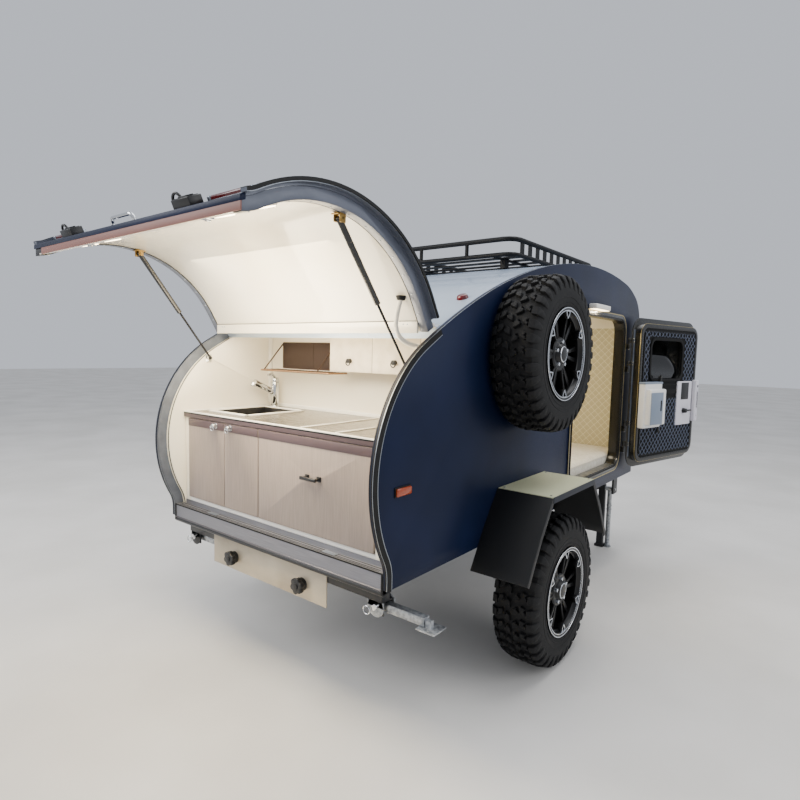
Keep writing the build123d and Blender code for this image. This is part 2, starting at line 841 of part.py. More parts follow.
# Base cabinet doors and the galley drawer
door_rows = [  # name, left x, right x, knob x
    ("galley_door_left", cabinet_x[0], cabinet_split[0] - 2, -385),
    ("galley_door_middle", cabinet_split[0] + 2, cabinet_split[1] - 4, -270),
]
for name, left, right, knob in door_rows:
    with BuildPart() as galley_door:
        block((left, right), (door_front, -1000), front_z)
        rod((knob, door_front, knob_z), (knob, door_front - 22, knob_z), 11)
    save(galley_door, name)

with BuildPart() as galley_drawer:
    block((cabinet_split[1] + 2, cabinet_x[1]), (door_front, -1000), front_z)
    block((-40, 595), (-1000, -500), (760, 1000))
    block((-28, 583), (-988, -512), (772, 1000), mode=Mode.SUBTRACT)
    for x in (258, 327):
        rod((x, door_front, pull_z), (x, door_front - 30, pull_z), 6)
    rod((250, door_front - 30, pull_z), (335, door_front - 30, pull_z), 7)
save(galley_drawer, "galley_drawer")

# Upper cabinet doors, hinged along their top edge
for k in range(2):
    with BuildPart() as upper_door:
        block((upper_x[k] + 1, upper_x[k + 1] - 1), (upper_front, upper_front + 16), upper_z)
        middle = (upper_x[k] + upper_x[k + 1]) / 2
        rod((middle, upper_front, upper_knob_z), (middle, upper_front - 20, upper_knob_z), 11)
    save(upper_door, ("upper_door_left", "upper_door_right")[k])

# Rear steady legs, stored level and pointing to the right
for name, x in zip(("right", "left"), rear_leg_x):
    with BuildPart() as rear_leg:
        block((x - 10, x + 215), (-976, -944), (rear_pin_z - 16, rear_pin_z + 16))
        rod((x, -983.5, rear_pin_z), (x, -936.5, rear_pin_z), 10)
        block((x + 195, x + 275), (-999, -920), (rear_pin_z - 24, rear_pin_z - 18))
        block((x + 205, x + 240), (-970, -950), (rear_pin_z - 20, rear_pin_z + 8))
    save(rear_leg, f"rear_leg_{name}")

# Front steady legs, down on the road
for name, side in sides:
    with BuildPart() as front_leg:
        block((side * 480, side * 525), (1870, 1915), (20, 500))
        rod((side * 555, 1910, 6), (side * 555, 1910, 460), 17)
        rod((side * 555, 1910, 0), (side * 555, 1910, 6), 25)
        block((side * 455.6, side * 584), (1885, 1915), (455, 485))
        block((side * 470, side * 535), (1860, 1925), (0, 20))
    save(front_leg, f"front_leg_{name}")

# Jockey wheel: a sleeve on the drawbar, a leg that slides in it and a small wheel
with BuildPart() as jockey_sleeve:
    rod((0, jockey_y, 430), (0, jockey_y, 900), 30)
    rod((0, jockey_y, 429), (0, jockey_y, 890), 24 + running_gap, mode=Mode.SUBTRACT)
    rod((0, jockey_y, 899), (0, jockey_y, 930), 9)
    rod((0, jockey_y, 930), (95, jockey_y, 930), 7)
    rod((90, jockey_y, 925), (90, jockey_y, 985), 12)
save(jockey_sleeve, "jockey_sleeve")
with BuildPart() as jockey_leg:
    rod((0, jockey_y, 215), (0, jockey_y, 650), 24)
    block((-40, 40), (2590, 2650), (205, 217))
    for name, side in sides:
        block((side * 34, side * 40), (2590, 2650), (80, 210))
    rod((-34, jockey_y, jockey_z), (34, jockey_y, jockey_z), 8)
save(jockey_leg, "jockey_leg")
with BuildPart() as jockey_wheel:
    with BuildSketch(Plane(origin=spot(-28, jockey_y, jockey_z), x_dir=(0, 0, -1), z_dir=(1, 0, 0))):
        RegularPolygon(100, jockey_facets, major_radius=False, rotation=180 / jockey_facets)
    extrude(amount=56)
    rod((-29, jockey_y, jockey_z), (29, jockey_y, jockey_z), 8 + running_gap, mode=Mode.SUBTRACT)
save(jockey_wheel, "jockey_wheel")
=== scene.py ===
import json
from math import ceil, cos, pi, radians, sin, sqrt

import bpy
from mathutils import Matrix, Vector


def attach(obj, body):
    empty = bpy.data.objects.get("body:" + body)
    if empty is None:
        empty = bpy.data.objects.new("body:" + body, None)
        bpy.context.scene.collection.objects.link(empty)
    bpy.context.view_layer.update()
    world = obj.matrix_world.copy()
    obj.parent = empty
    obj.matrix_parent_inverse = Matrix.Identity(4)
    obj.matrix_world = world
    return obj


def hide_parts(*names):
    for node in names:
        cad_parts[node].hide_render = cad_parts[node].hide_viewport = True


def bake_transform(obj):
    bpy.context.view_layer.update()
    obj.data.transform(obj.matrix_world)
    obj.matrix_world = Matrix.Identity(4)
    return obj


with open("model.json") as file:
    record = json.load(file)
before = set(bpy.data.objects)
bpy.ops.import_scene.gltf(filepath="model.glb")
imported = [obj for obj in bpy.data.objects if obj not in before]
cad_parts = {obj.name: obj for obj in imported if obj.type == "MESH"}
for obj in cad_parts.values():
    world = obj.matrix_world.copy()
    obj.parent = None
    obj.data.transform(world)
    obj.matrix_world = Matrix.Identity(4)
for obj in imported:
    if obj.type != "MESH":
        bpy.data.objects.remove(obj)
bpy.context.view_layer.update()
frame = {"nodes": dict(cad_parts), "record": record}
nodes = frame["nodes"]

# Camera at standing height behind the right rear corner of the trailer, looking forward and to the left.
# It is turned a little down and tilted a little, as a hand-held picture is.
camera_place = Vector((1.9729, -5.6369, 1.0575))
camera_yaw = radians(38.30)
camera_pitch = radians(4.90)
camera_roll = radians(1.37)
forward = Vector((
    -sin(camera_yaw) * cos(camera_pitch),
    cos(camera_yaw) * cos(camera_pitch),
    -sin(camera_pitch),
))
level = Vector((cos(camera_yaw), sin(camera_yaw), 0))
upright = level.cross(forward)
across = level * cos(camera_roll) + upright * sin(camera_roll)
above = upright * cos(camera_roll) - level * sin(camera_roll)
bpy.ops.object.select_all(action="DESELECT")
bpy.ops.object.camera_add()
camera = bpy.context.object
camera_turn = Matrix((across, above, -forward)).transposed().to_4x4()
camera.matrix_world = Matrix.Translation(camera_place) @ camera_turn
camera.data.sensor_width = 36
camera.data.lens = 25.54
camera.data.clip_end = 200
bpy.context.scene.camera = camera


# Floor: pale sealed concrete, the ground the tyres stand on, with a soft mottling as cast concrete has.
# It belongs to the stage. Every later finish is made with these functions.
def colour(code):
    """An sRGB hex value as a linear colour."""
    parts = [int(code[i:i + 2], 16) / 255 for i in (1, 3, 5)]
    return tuple(p / 12.92 if p <= 0.04045 else ((p + 0.055) / 1.055) ** 2.4 for p in parts) + (1,)


def add_node(material, kind, values=None, links=None, **settings):
    """One shader node: settings are its options, values fill its sockets, links join it to other nodes."""
    made = material.node_tree.nodes.new(kind)
    for key, value in settings.items():
        setattr(made, key, value)
    for key, value in (values or {}).items():
        made.inputs[key].default_value = value
    for key, source in (links or {}).items():
        material.node_tree.links.new(source, made.inputs[key])
    return made


def finish(name, code, roughness, metallic=0.0, coat=0.0):
    """A named finish with one colour, gloss and metal share on its shader, which is handed back too."""
    material = bpy.data.materials.new(name)
    material.use_nodes = True
    shader = material.node_tree.nodes["Principled BSDF"]
    shader.inputs["Base Color"].default_value = colour(code)
    shader.inputs["Roughness"].default_value = roughness
    shader.inputs["Metallic"].default_value = metallic
    shader.inputs["Coat Weight"].default_value = coat
    shader.inputs["Coat Roughness"].default_value = 0.06
    return material, shader


def grain(material, size, detail=3.0, stretch=(1, 1, 1)):
    """Noise of a real patch size on the piece's own coordinates, drawn out along some of the axes."""
    place = add_node(material, "ShaderNodeTexCoord").outputs["Object"]
    turned = add_node(material, "ShaderNodeMapping", {"Scale": stretch}, {"Vector": place}).outputs["Vector"]
    return add_node(material, "ShaderNodeTexNoise", {"Scale": 1 / size, "Detail": detail}, {"Vector": turned})


def mottle(material, shader, codes, size, detail=3.0, stretch=(1, 1, 1)):
    """Lets the colour wander between two hex colours in patches of a real size."""
    noise = grain(material, size, detail, stretch)
    level = add_node(
        material,
        "ShaderNodeMapRange",
        {"From Min": 0.35, "From Max": 0.65},
        {"Value": noise.outputs["Fac"]},
    )
    mix = add_node(
        material,
        "ShaderNodeMix",
        {6: colour(codes[0]), 7: colour(codes[1])},
        {0: level.outputs["Result"]},
        data_type="RGBA",
    )
    material.node_tree.links.new(mix.outputs[2], shader.inputs["Base Color"])


def roughen(material, shader, size, height, stretch=(1, 1, 1), low=None, high=None):
    """Adds a bump of a real grain size and height, and lets the gloss vary with the same noise."""
    noise = grain(material, size, 2.0, stretch)
    bump = add_node(
        material,
        "ShaderNodeBump",
        {"Strength": 1.0, "Distance": height},
        {"Height": noise.outputs["Fac"]},
    )
    material.node_tree.links.new(bump.outputs["Normal"], shader.inputs["Normal"])
    if low is not None:
        gloss = add_node(
            material,
            "ShaderNodeMapRange",
            {"From Min": 0.3, "From Max": 0.7, "To Min": low, "To Max": high},
            {"Value": noise.outputs["Fac"]},
        )
        material.node_tree.links.new(gloss.outputs["Result"], shader.inputs["Roughness"])


axle_y = -3.05
road_z = -0.45
floor_size = 70
bpy.ops.mesh.primitive_grid_add(
    x_subdivisions=20,
    y_subdivisions=20,
    size=floor_size,
    location=(0, axle_y, road_z),
)
ground = bpy.context.object
ground.name = "ground"
concrete, shader = finish("sealed_pale_concrete", "#dedbd5", 0.62)
mottle(concrete, shader, ("#d7d4ce", "#e4e1dc"), 0.9)
roughen(concrete, shader, 0.05, 0.0006, low=0.55, high=0.72)
ground.data.materials.append(concrete)

# Studio light: one broad soft lamp high behind the camera's left shoulder, a second over the roof,
# a weak one from the right, and an even pale surround.
lamp_rows = [  # name, place, aim, width, watts
    ("key_light", (-3.6, -9.0, 4.6), (0, -3.6, 0.7), 4.5, 420),
    ("roof_light", (0.5, -1.5, 6.0), (0, -2.8, 0.5), 5.0, 300),
    ("side_light", (6.5, -1.0, 3.6), (0.7, -2.8, 0.5), 4.0, 110),
]


def soft_lamp(name, place, aim, width, watts):
    """A square soft lamp at one place that shines towards another."""
    bpy.ops.object.light_add(type="AREA", location=place)
    lamp = bpy.context.object
    lamp.name = name
    lamp.data.size = width
    lamp.data.energy = watts
    lamp.rotation_euler = (Vector(aim) - Vector(place)).to_track_quat("-Z", "Y").to_euler()
    return lamp


for name, place, aim, width, watts in lamp_rows:
    soft_lamp(name, place, aim, width, watts)
surround = bpy.data.worlds.new("pale_surround")
surround.use_nodes = True
surround.node_tree.nodes["Background"].inputs["Color"].default_value = colour("#dfe4ee")
surround.node_tree.nodes["Background"].inputs["Strength"].default_value = 0.85
bpy.context.scene.world = surround

# Side walls: composite boards with a satin navy skin outside, a cream board inside and a bare aluminium
# rebate round the edge, where the hatch closes. A black edge cap with silver lines and a rubber seal follow
# their outline. On the left wall the seal is the outer one.
body_of = {node: body for body, row in frame["record"]["behaviour"]["bodies"].items() for node in row}
slot_of = {row["node"]: row["material_slot"] for row in frame["record"]["subparts"]}
both_sides = (("right", 1), ("left", -1))


def station(x, y, z):
    """A point given across, forward of the axle and above the road."""
    return Vector((x, axle_y + y, road_z + z))


def only(piece):
    """Selects one piece alone."""
    bpy.ops.object.select_all(action="DESELECT")
    piece.select_set(True)
    bpy.context.view_layer.objects.active = piece


def apply_place(piece):
    """Puts a piece's place, turn and size into its mesh."""
    only(piece)
    bpy.ops.object.transform_apply(location=True, rotation=True, scale=True)


def face_outwards(piece):
    """Recalculates a closed piece's normals and hands it back."""
    only(piece)
    bpy.ops.object.mode_set(mode="EDIT")
    bpy.ops.mesh.select_all(action="SELECT")
    bpy.ops.mesh.normals_make_consistent(inside=False)
    bpy.ops.object.mode_set(mode="OBJECT")
    return piece


def shape(piece, kind, **settings):
    """Adds a modifier with its settings and applies it."""
    only(piece)
    made = piece.modifiers.new(kind.lower(), kind)
    for key, value in settings.items():
        setattr(made, key, value)
    bpy.ops.object.modifier_apply(modifier=made.name)


def soften(piece, width, segments=2, angle=38):
    """Rounds a piece's sharp edges."""
    shape(piece, "BEVEL", width=width, segments=segments, limit_method="ANGLE", angle_limit=radians(angle))


def settle(piece, name, body, slot, material=None, smooth=35, stands_for=()):
    """Names and finishes a piece, parents it to the empty of the body it rides on and hides the nodes it
    stands for.
    """
    apply_place(piece)
    bpy.ops.object.shade_smooth_by_angle(angle=radians(smooth))
    piece.name = name
    piece.data.name = name
    if material:
        piece.data.materials.clear()
        piece.data.materials.append(material)
    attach(piece, body)
    if stands_for:
        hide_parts(*stands_for)
    return piece


def dress(node, materials, choose=None, bevel=0.0, smooth=35):
    """A merged copy of a CAD piece with soft edges, whose faces take the finish that choose picks."""
    piece = bpy.data.objects.new(node + "_dressed", nodes[node].data.copy())
    bpy.context.collection.objects.link(piece)
    only(piece)
    bpy.ops.object.mode_set(mode="EDIT")
    bpy.ops.mesh.select_all(action="SELECT")
    bpy.ops.mesh.remove_doubles(threshold=0.00003)
    bpy.ops.mesh.dissolve_limited(angle_limit=radians(0.5))
    bpy.ops.object.mode_set(mode="OBJECT")
    if bevel:
        soften(piece, bevel)
    piece.data.materials.clear()
    for material in materials:
        piece.data.materials.append(material)
    for face in piece.data.polygons:
        face.material_index = choose(face.center, face.normal) if choose else 0
    return settle(piece, node + "_dressed", body_of[node], slot_of[node], None, smooth, (node,))


def new_mesh(name, corners, edges=(), faces=()):
    """A linked mesh object from its corners, handed back selected."""
    mesh = bpy.data.meshes.new(name)
    mesh.from_pydata([tuple(corner) for corner in corners], list(edges), list(faces))
    made = bpy.data.objects.new(name, mesh)
    bpy.context.collection.objects.link(made)
    only(made)
    return made


def walk(legs, start, heading):
    """Where a run along the side outline ends, its heading there, and the centre of each of its bends."""
    y, z = start
    centres = []
    for leg in legs:
        if isinstance(leg, tuple):
            radius, turn = leg
            reach = radius if turn > 0 else -radius
            left = radians(heading + 90)
            centre = (y + reach * cos(left), z + reach * sin(left))
            heading += turn
            left = radians(heading + 90)
            y, z = centre[0] - reach * cos(left), centre[1] - reach * sin(left)
            centres.append(centre)
        else:
            y, z = y + leg * cos(radians(heading)), z + leg * sin(radians(heading))
            centres.append(None)
    return (y, z), heading, centres


wall_corner = (-1.050, 0.640)
degrees_per_step = 2.5


def run_along(section, legs, start=wall_corner, heading=90.0):
    """Draws a closed section, in across and outward pairs, along the side outline and closes its ends."""
    left = radians(heading + 90)
    corners = [station(x, start[0] + out * cos(left), start[1] + out * sin(left)) for x, out in section]
    count = len(corners)
    made = new_mesh("run", corners, [(i, (i + 1) % count) for i in range(count)])
    bpy.ops.object.mode_set(mode="EDIT")
    bpy.ops.mesh.select_mode(type="EDGE")
    bpy.ops.mesh.select_all(action="SELECT")
    centres = walk(legs, start, heading)[2]
    for leg, centre in zip(legs, centres):
        if centre:
            bpy.ops.mesh.spin(
                steps=ceil(abs(leg[1]) / degrees_per_step),
                angle=radians(leg[1]),
                center=station(0, *centre),
                axis=(-1, 0, 0),
            )
            heading += leg[1]
        else:
            step = (0, leg * cos(radians(heading)), leg * sin(radians(heading)))
            bpy.ops.mesh.extrude_region_move(TRANSFORM_OT_translate={"value": step})
    bpy.ops.mesh.select_all(action="SELECT")
    bpy.ops.mesh.fill_holes(sides=0)
    bpy.ops.object.mode_set(mode="OBJECT")
    return face_outwards(made)


def round_section(x, out, radius, sides=12):
    """A round section about a place across and outwards."""
    turns = [2 * pi * k / sides for k in range(sides)]
    return [(x + radius * cos(turn), out + radius * sin(turn)) for turn in turns]


tail_legs = [0.042, (0.150, 28.5), (0.590, -87.5), (3.530, -1.8)]
roof_legs = [(3.530, -37.6), (0.825, -18.3), (0.215, -63.3), 1.094]
navy_paint, shader = finish("satin_navy_body_paint", "#101a34", 0.36)
mottle(navy_paint, shader, ("#0d162d", "#131e3b"), 0.5)
roughen(navy_paint, shader, 0.006, 0.00002, low=0.32, high=0.42)
shader.inputs["Specular IOR Level"].default_value = 0.16
cream_board, shader = finish("cream_laminated_wall_board", "#f0e9d6", 0.38, coat=0.15)
mottle(cream_board, shader, ("#ece5d1", "#f4eee0"), 0.35)
# Brushed aluminium: fine scratches along the edge, drawn 1.5 mm apart so that they show
brushed, shader = finish("brushed_aluminium", "#5f6570", 0.44, 0.3)
mottle(brushed, shader, ("#595f6a", "#676d79"), 0.0015, stretch=(1, 0.03, 0.03))
roughen(brushed, shader, 0.0015, 0.00002, stretch=(1, 0.03, 0.03), low=0.34, high=0.46)
silver, shader = finish("silver_anodised_trim", "#9aa0a8", 0.36, 0.85)
roughen(silver, shader, 0.02, 0.00002, low=0.32, high=0.42)
rubber_seal, shader = finish("black_bulb_rubber", "#0a0a0b", 0.55)
roughen(rubber_seal, shader, 0.004, 0.00006, low=0.48, high=0.62)
shader.inputs["Specular IOR Level"].default_value = 0.3
board_x = 0.69
rebate_x = 0.702


def wall_finish(centre, normal):
    """A side wall's face is skin, board or bare rebate."""
    if abs(centre.x) < board_x:
        return 1
    return 2 if abs(centre.x) < rebate_x and abs(normal.x) > 0.9 else 0


# The lip outside the rebate. Its trims lie mirrored about its middle on the left wall.
lip_span = (0.700, 0.7205)
lip_middle = 0.7103
trim_rows = [  # name, middle across and outwards, half sizes or radius, whether over the roof, slot, finish
    ("edge_cap", (0.7218, -0.0115), (0.0012, 0.0110), False, "frame_black", rubber_seal),
    ("edge_cap_line", (0.7218, -0.0240), (0.0014, 0.0016), False, "roof_sheet", silver),
    ("edge_line", (0.7196, -0.0006), (0.0010, 0.0014), True, "roof_sheet", silver),
    ("edge_groove", (0.7140, -0.0012), (0.0036, 0.0016), True, "frame_black", rubber_seal),
    ("bulb_seal", (0.7045, -0.0045), 0.0052, False, "frame_black", rubber_seal),
    ("rebate_seal", (0.6820, -0.0485), 0.0034, False, "frame_black", rubber_seal),
]
for side_name, side in both_sides:
    dress(f"side_wall_{side_name}", (navy_paint, cream_board, brushed), wall_finish, 0.0015)
    for name, middle, size, over_roof, slot, material in trim_rows:
        x, out = middle
        if side < 0 and lip_span[0] < x < lip_span[1]:
            x = 2 * lip_middle - x
        if isinstance(size, tuple):
            signs = ((-1, -1), (1, -1), (1, 1), (-1, 1))
            section = [(side * x + a * size[0], out + b * size[1]) for a, b in signs]
        else:
            section = round_section(side * x, out, size)
        trim = run_along(section, tail_legs + roof_legs if over_roof else tail_legs)
        settle(trim, f"{name}_{side_name}", "root", slot, material)

# Roof and nose: smooth pale silver-blue sheets with a cover strip over their seam. The hatch hinge along
# the roof's rear edge is silver above and closed with cream board below.
roof_paint, shader = finish("pale_silver_blue_coated_sheet", "#97a8bd", 0.3, 0.25, 0.3)
mottle(roof_paint, shader, ("#8fa0b6", "#a3b2c5"), 0.6)
roughen(roof_paint, shader, 0.25, 0.0004, low=0.26, high=0.36)


def roof_finish(centre, normal):
    """A panel's face is coated sheet outside and cream board inside."""
    middle = station(0, 0.4, 1.2)
    return 0 if (centre - middle).dot(normal) > 0 else 1


dress("roof_panel", (roof_paint, cream_board), roof_finish)
dress("nose_panel", (roof_paint, cream_board), roof_finish, 0.002)


def block(x, y, z, bevel=0.002, segments=2):
    """A box with rounded edges between two x, y and z."""
    low = station(min(x), min(y), min(z))
    high = station(max(x), max(y), max(z))
    bpy.ops.object.select_all(action="DESELECT")
    bpy.ops.mesh.primitive_cube_add(size=1, location=(low + high) / 2, scale=high - low)
    made = bpy.context.object
    apply_place(made)
    if bevel:
        soften(made, bevel, segments)
    return made


def bar(start, end, radius, sides=24, tip=None, bevel=0.0008):
    """A round bar or cone between two points, with rounded rims."""
    a, b = station(*start), station(*end)
    bpy.ops.object.select_all(action="DESELECT")
    bpy.ops.mesh.primitive_cone_add(
        vertices=sides,
        radius1=radius,
        radius2=radius if tip is None else tip,
        depth=(b - a).length,
        location=(a + b) / 2,
        rotation=(b - a).to_track_quat("Z", "Y").to_euler(),
    )
    made = bpy.context.object
    apply_place(made)
    if bevel:
        soften(made, bevel, 2, 50)
    return made


def together(pieces):
    """Joins pieces into the first one."""
    bpy.ops.object.select_all(action="DESELECT")
    for piece in pieces:
        piece.select_set(True)
    bpy.context.view_layer.objects.active = pieces[0]
    bpy.ops.object.join()
    return pieces[0]


seam_strip = block((-0.699, 0.699), (1.843, 1.851), (1.688, 1.712))
settle(seam_strip, "nose_seam_strip", "root", "roof_sheet", silver)
dress("hatch_hinge", (silver, cream_board), lambda c, n: 0 if n.z > 0.2 else 1, 0.0008)
marker_lens, shader = finish("amber_acrylic_lens", "#9c3a0c", 0.22, coat=0.4)
roughen(marker_lens, shader, 0.004, 0.0002)
red_lens, shader = finish("red_acrylic_lens", "#5a0f14", 0.2, coat=0.4)
roughen(red_lens, shader, 0.004, 0.0002)
for side_name, side in both_sides:
    base = block((side * 0.721, side * 0.726), (-1.024, -0.930), (0.980, 1.018), 0.0015)
    settle(base, f"side_marker_base_{side_name}", "root", "frame_black", rubber_seal)
    lens = block((side * 0.724, side * 0.736), (-1.020, -0.934), (0.984, 1.014), 0.005, 3)
    settle(lens, f"side_marker_lens_{side_name}", "root", "lamp_red", marker_lens)
    lens = bar((side * 0.62, -0.445, 1.738), (side * 0.62, -0.455, 1.762), 0.03, 32, 0.022, 0.006)
    settle(lens, f"roof_marker_lens_{side_name}", "root", "lamp_red", red_lens)

# Floor and chassis: a coated board on two black painted box rails with cross tubes. The drawbar, the
# coupling, the axle and the legs are hot-dip galvanised, which leaves a pale spangle of about 12 mm.
undercoat, shader = finish("black_floor_coating", "#1a1a1b", 0.7)
roughen(undercoat, shader, 0.012, 0.0004, low=0.6, high=0.8)
chassis_paint, shader = finish("black_chassis_paint", "#18191b", 0.42)
roughen(chassis_paint, shader, 0.003, 0.00008, low=0.36, high=0.5)
zinc, shader = finish("hot_dip_galvanised_steel", "#9a9da0", 0.45, 0.85)
mottle(zinc, shader, ("#84878b", "#b0b3b5"), 0.012, detail=1.0)
roughen(zinc, shader, 0.012, 0.00006, low=0.36, high=0.52)
dress("floor", (undercoat,), bevel=0.002)
dress("chassis", (chassis_paint,), bevel=0.002)
for node in ("drawbar", "tow_coupling", "axle"):
    dress(node, (zinc,), bevel=0.002)


def bolts(places, way, name):
    """Galvanised hexagon heads on round washers, at some places and all pointing one way."""
    heads = []
    for place in places:
        for depth, radius, sides, bevel in ((0.006, 0.008, 6, 0.0008), (0.0018, 0.012, 20, 0.0004)):
            end = tuple(p + depth * w for p, w in zip(place, way))
            heads.append(bar(place, end, radius, sides, bevel=bevel))
    return settle(together(heads), name, "root", "galvanised", zinc, 30)


places = []
for side in (-1, 1):
    places += [(side * 0.03, y, 0.560) for y in (2.78, 2.84)]
    places += [(side * 0.39, y, 0.560) for y in (1.21, 1.26)]
places += [(x, y, 0.500) for x in (-0.02, 0.02) for y in (2.90, 2.96)]
bolts(places, (0, 0, 1), "drawbar_bolts")
coupling_handle = together([
    block((-0.012, 0.012), (2.93, 3.03), (0.512, 0.520), 0.003),
    block((-0.014, 0.014), (3.00, 3.06), (0.500, 0.530), 0.006, 3),
    bar((-0.02, 2.955, 0.508), (0.02, 2.955, 0.508), 0.006),
])
settle(coupling_handle, "coupling_handle", "root", "frame_black", chassis_paint)

# Rear sill: a brushed ledge and face under the hatch, with a white foot strip against the cabinets, striker
# plates for the two locks and a black tube below. The plate under it is brushed too and holds two star knobs.
sill_metal, shader = finish("brushed_sill_sheet", "#7d7d83", 0.42, 0.6)
mottle(sill_metal, shader, ("#76767c", "#84848a"), 0.002, stretch=(0.02, 1, 1))
roughen(sill_metal, shader, 0.002, 0.00003, stretch=(0.02, 1, 1), low=0.34, high=0.48)
white_plastic, shader = finish("white_moulded_plastic", "#f4f1e9", 0.35)
roughen(white_plastic, shader, 0.003, 0.00004, low=0.3, high=0.42)
black_knob, shader = finish("black_moulded_plastic", "#151516", 0.4)
roughen(black_knob, shader, 0.002, 0.00008, low=0.35, high=0.5)
dark_grey_metal, shader = finish("dark_brushed_edge", "#5c5a5e", 0.45, 0.7)
roughen(dark_grey_metal, shader, 0.002, 0.00003, stretch=(0.02, 1, 1), low=0.4, high=0.52)
dress("rear_sill", (sill_metal, chassis_paint), lambda c, n: 1 if c.z < road_z + 0.6355 else 0, 0.002)
foot_strip = block((-0.668, 0.668), (-1.0060, -0.984), (0.7215, 0.7435), 0.007, 3)
settle(foot_strip, "sill_foot_strip", "root", "sill_metal", white_plastic)
lines = [block((-0.67, 0.67), (y, y + 0.003), (0.7000, 0.7012), 0.0004, 1) for y in (-1.040, -1.030, -1.014)]
lines.append(block((-0.699, 0.699), (-1.0492, -1.0460), (0.6950, 0.7012), 0.0006, 1))
settle(together(lines), "sill_grooves", "root", "frame_black", rubber_seal)
lip = bar((-0.699, -1.0475, 0.6345), (0.699, -1.0475, 0.6345), 0.0042)
settle(lip, "sill_lip", "root", "sill_metal", dark_grey_metal)
strikers = []
for x in (-0.40, 0.40):
    strikers.append(block((x - 0.035, x + 0.035), (-1.034, -1.012), (0.7005, 0.7025), 0.0008))
    strikers.append(block((x - 0.016, x + 0.016), (-1.028, -1.018), (0.7020, 0.7032), 0.0005))
    for screw in (x - 0.026, x + 0.026):
        strikers.append(bar((screw, -1.023, 0.7022), (screw, -1.023, 0.7032), 0.004, 12, bevel=0.0003))
settle(together(strikers), "sill_strikers", "root", "sill_metal", silver)
ends = [block((s * 0.690, s * 0.7), (-1.052, -0.998), (0.618, 0.700), 0.003) for s in (-1, 1)]
settle(together(ends), "sill_end_blocks", "root", "frame_black", rubber_seal)
plate_metal, shader = finish("warm_brushed_plate", "#b5a892", 0.4, 0.5)
mottle(plate_metal, shader, ("#a99c87", "#c2b6a0"), 0.25)
roughen(plate_metal, shader, 0.0015, 0.00003, stretch=(0.03, 1, 1), low=0.32, high=0.44)
dress("rear_plate", (plate_metal, black_knob), lambda c, n: 1 if c.y < axle_y - 1.0065 else 0, 0.001)
# Each star is a disc of 18 corners a side, of which every third is drawn in by a fifth
knob_height = 0.518
knobs = []
for x in (-0.250, 0.222):
    star = bar((x, -1.024, knob_height), (x, -1.046, knob_height), 0.036, 18, bevel=0)
    for k, corner in enumerate(star.data.vertices):
        away = corner.co - station(x, corner.co.y - axle_y, knob_height)
        if k // 2 % 3 == 2:
            corner.co -= away * 0.2
    soften(star, 0.004, 3, 25)
    knobs += [star, bar((x, -1.044, knob_height), (x, -1.050, knob_height), 0.014, 20)]
settle(together(knobs), "plate_star_knobs", "root", "frame_black", black_knob)

# Cabin lining: cream vinyl over foam, quilted in 55 mm diamonds and glued to the walls, nose and ceiling.
# Each diamond swells between its stitched seams, which show as thin pale lines.
quilt_pitch = 0.055
quilt_step = quilt_pitch / 4
seam_swell = 0.003
pillow_swell = 0.006
stitch_reach = 0.0022
lining_x = 0.6685
lining_left = -0.66
lining_rear = -0.440
lining_foot = 0.830
ceiling_depth = 0.050
door_middle = (1.0575, 1.2515)
door_half = (0.455, 0.52)
roof_arcs = [  # front end, radius, centre along and up
    (1.480, 3.530, (0.9645, -1.485)),
    (1.730, 0.825, (1.3595, 1.1911)),
    (1.850, 0.215, (1.6337, 1.7360)),
]


def roof_inside(y, depth):
    """Height of the side outline, drawn in by depth, over a place along the trailer."""
    for front, radius, (arc_y, arc_z) in roof_arcs:
        if y < front:
            break
    return sqrt(max((radius - depth) ** 2 - (y - arc_y) ** 2, 0)) + arc_z


def quilted_vinyl(name, axes, origin):
    """Cream vinyl with a pale stitch line along the quilt's seams, over two of the object's axes."""
    material, shader = finish(name, "#cfc5a2", 0.45)
    roughen(material, shader, 0.0025, 0.00005, low=0.4, high=0.52)
    place = add_node(material, "ShaderNodeTexCoord").outputs["Object"]
    parts = add_node(material, "ShaderNodeSeparateXYZ", links={0: place}).outputs
    flat = []
    for axis, start in zip(axes, origin):
        moved = add_node(material, "ShaderNodeMath", {1: start}, {0: parts[axis]}, operation="SUBTRACT")
        flat.append(moved.outputs[0])
    gaps = []
    for operation in ("ADD", "SUBTRACT"):
        run = add_node(material, "ShaderNodeMath", {}, {0: flat[0], 1: flat[1]}, operation=operation)
        links = {0: run.outputs[0]}
        gap = add_node(material, "ShaderNodeMath", {1: quilt_pitch / 2}, links, operation="PINGPONG")
        gaps.append(gap.outputs[0])
    near = add_node(material, "ShaderNodeMath", {}, {0: gaps[0], 1: gaps[1]}, operation="MINIMUM").outputs[0]
    stitch = add_node(material, "ShaderNodeMath", {1: stitch_reach}, {0: near}, operation="LESS_THAN")
    mix = add_node(
        material,
        "ShaderNodeMix",
        {6: colour("#cdc39f"), 7: colour("#efe9d2")},
        {0: stitch.outputs[0]},
        data_type="RGBA",
    )
    material.node_tree.links.new(mix.outputs[2], shader.inputs["Base Color"])
    return material


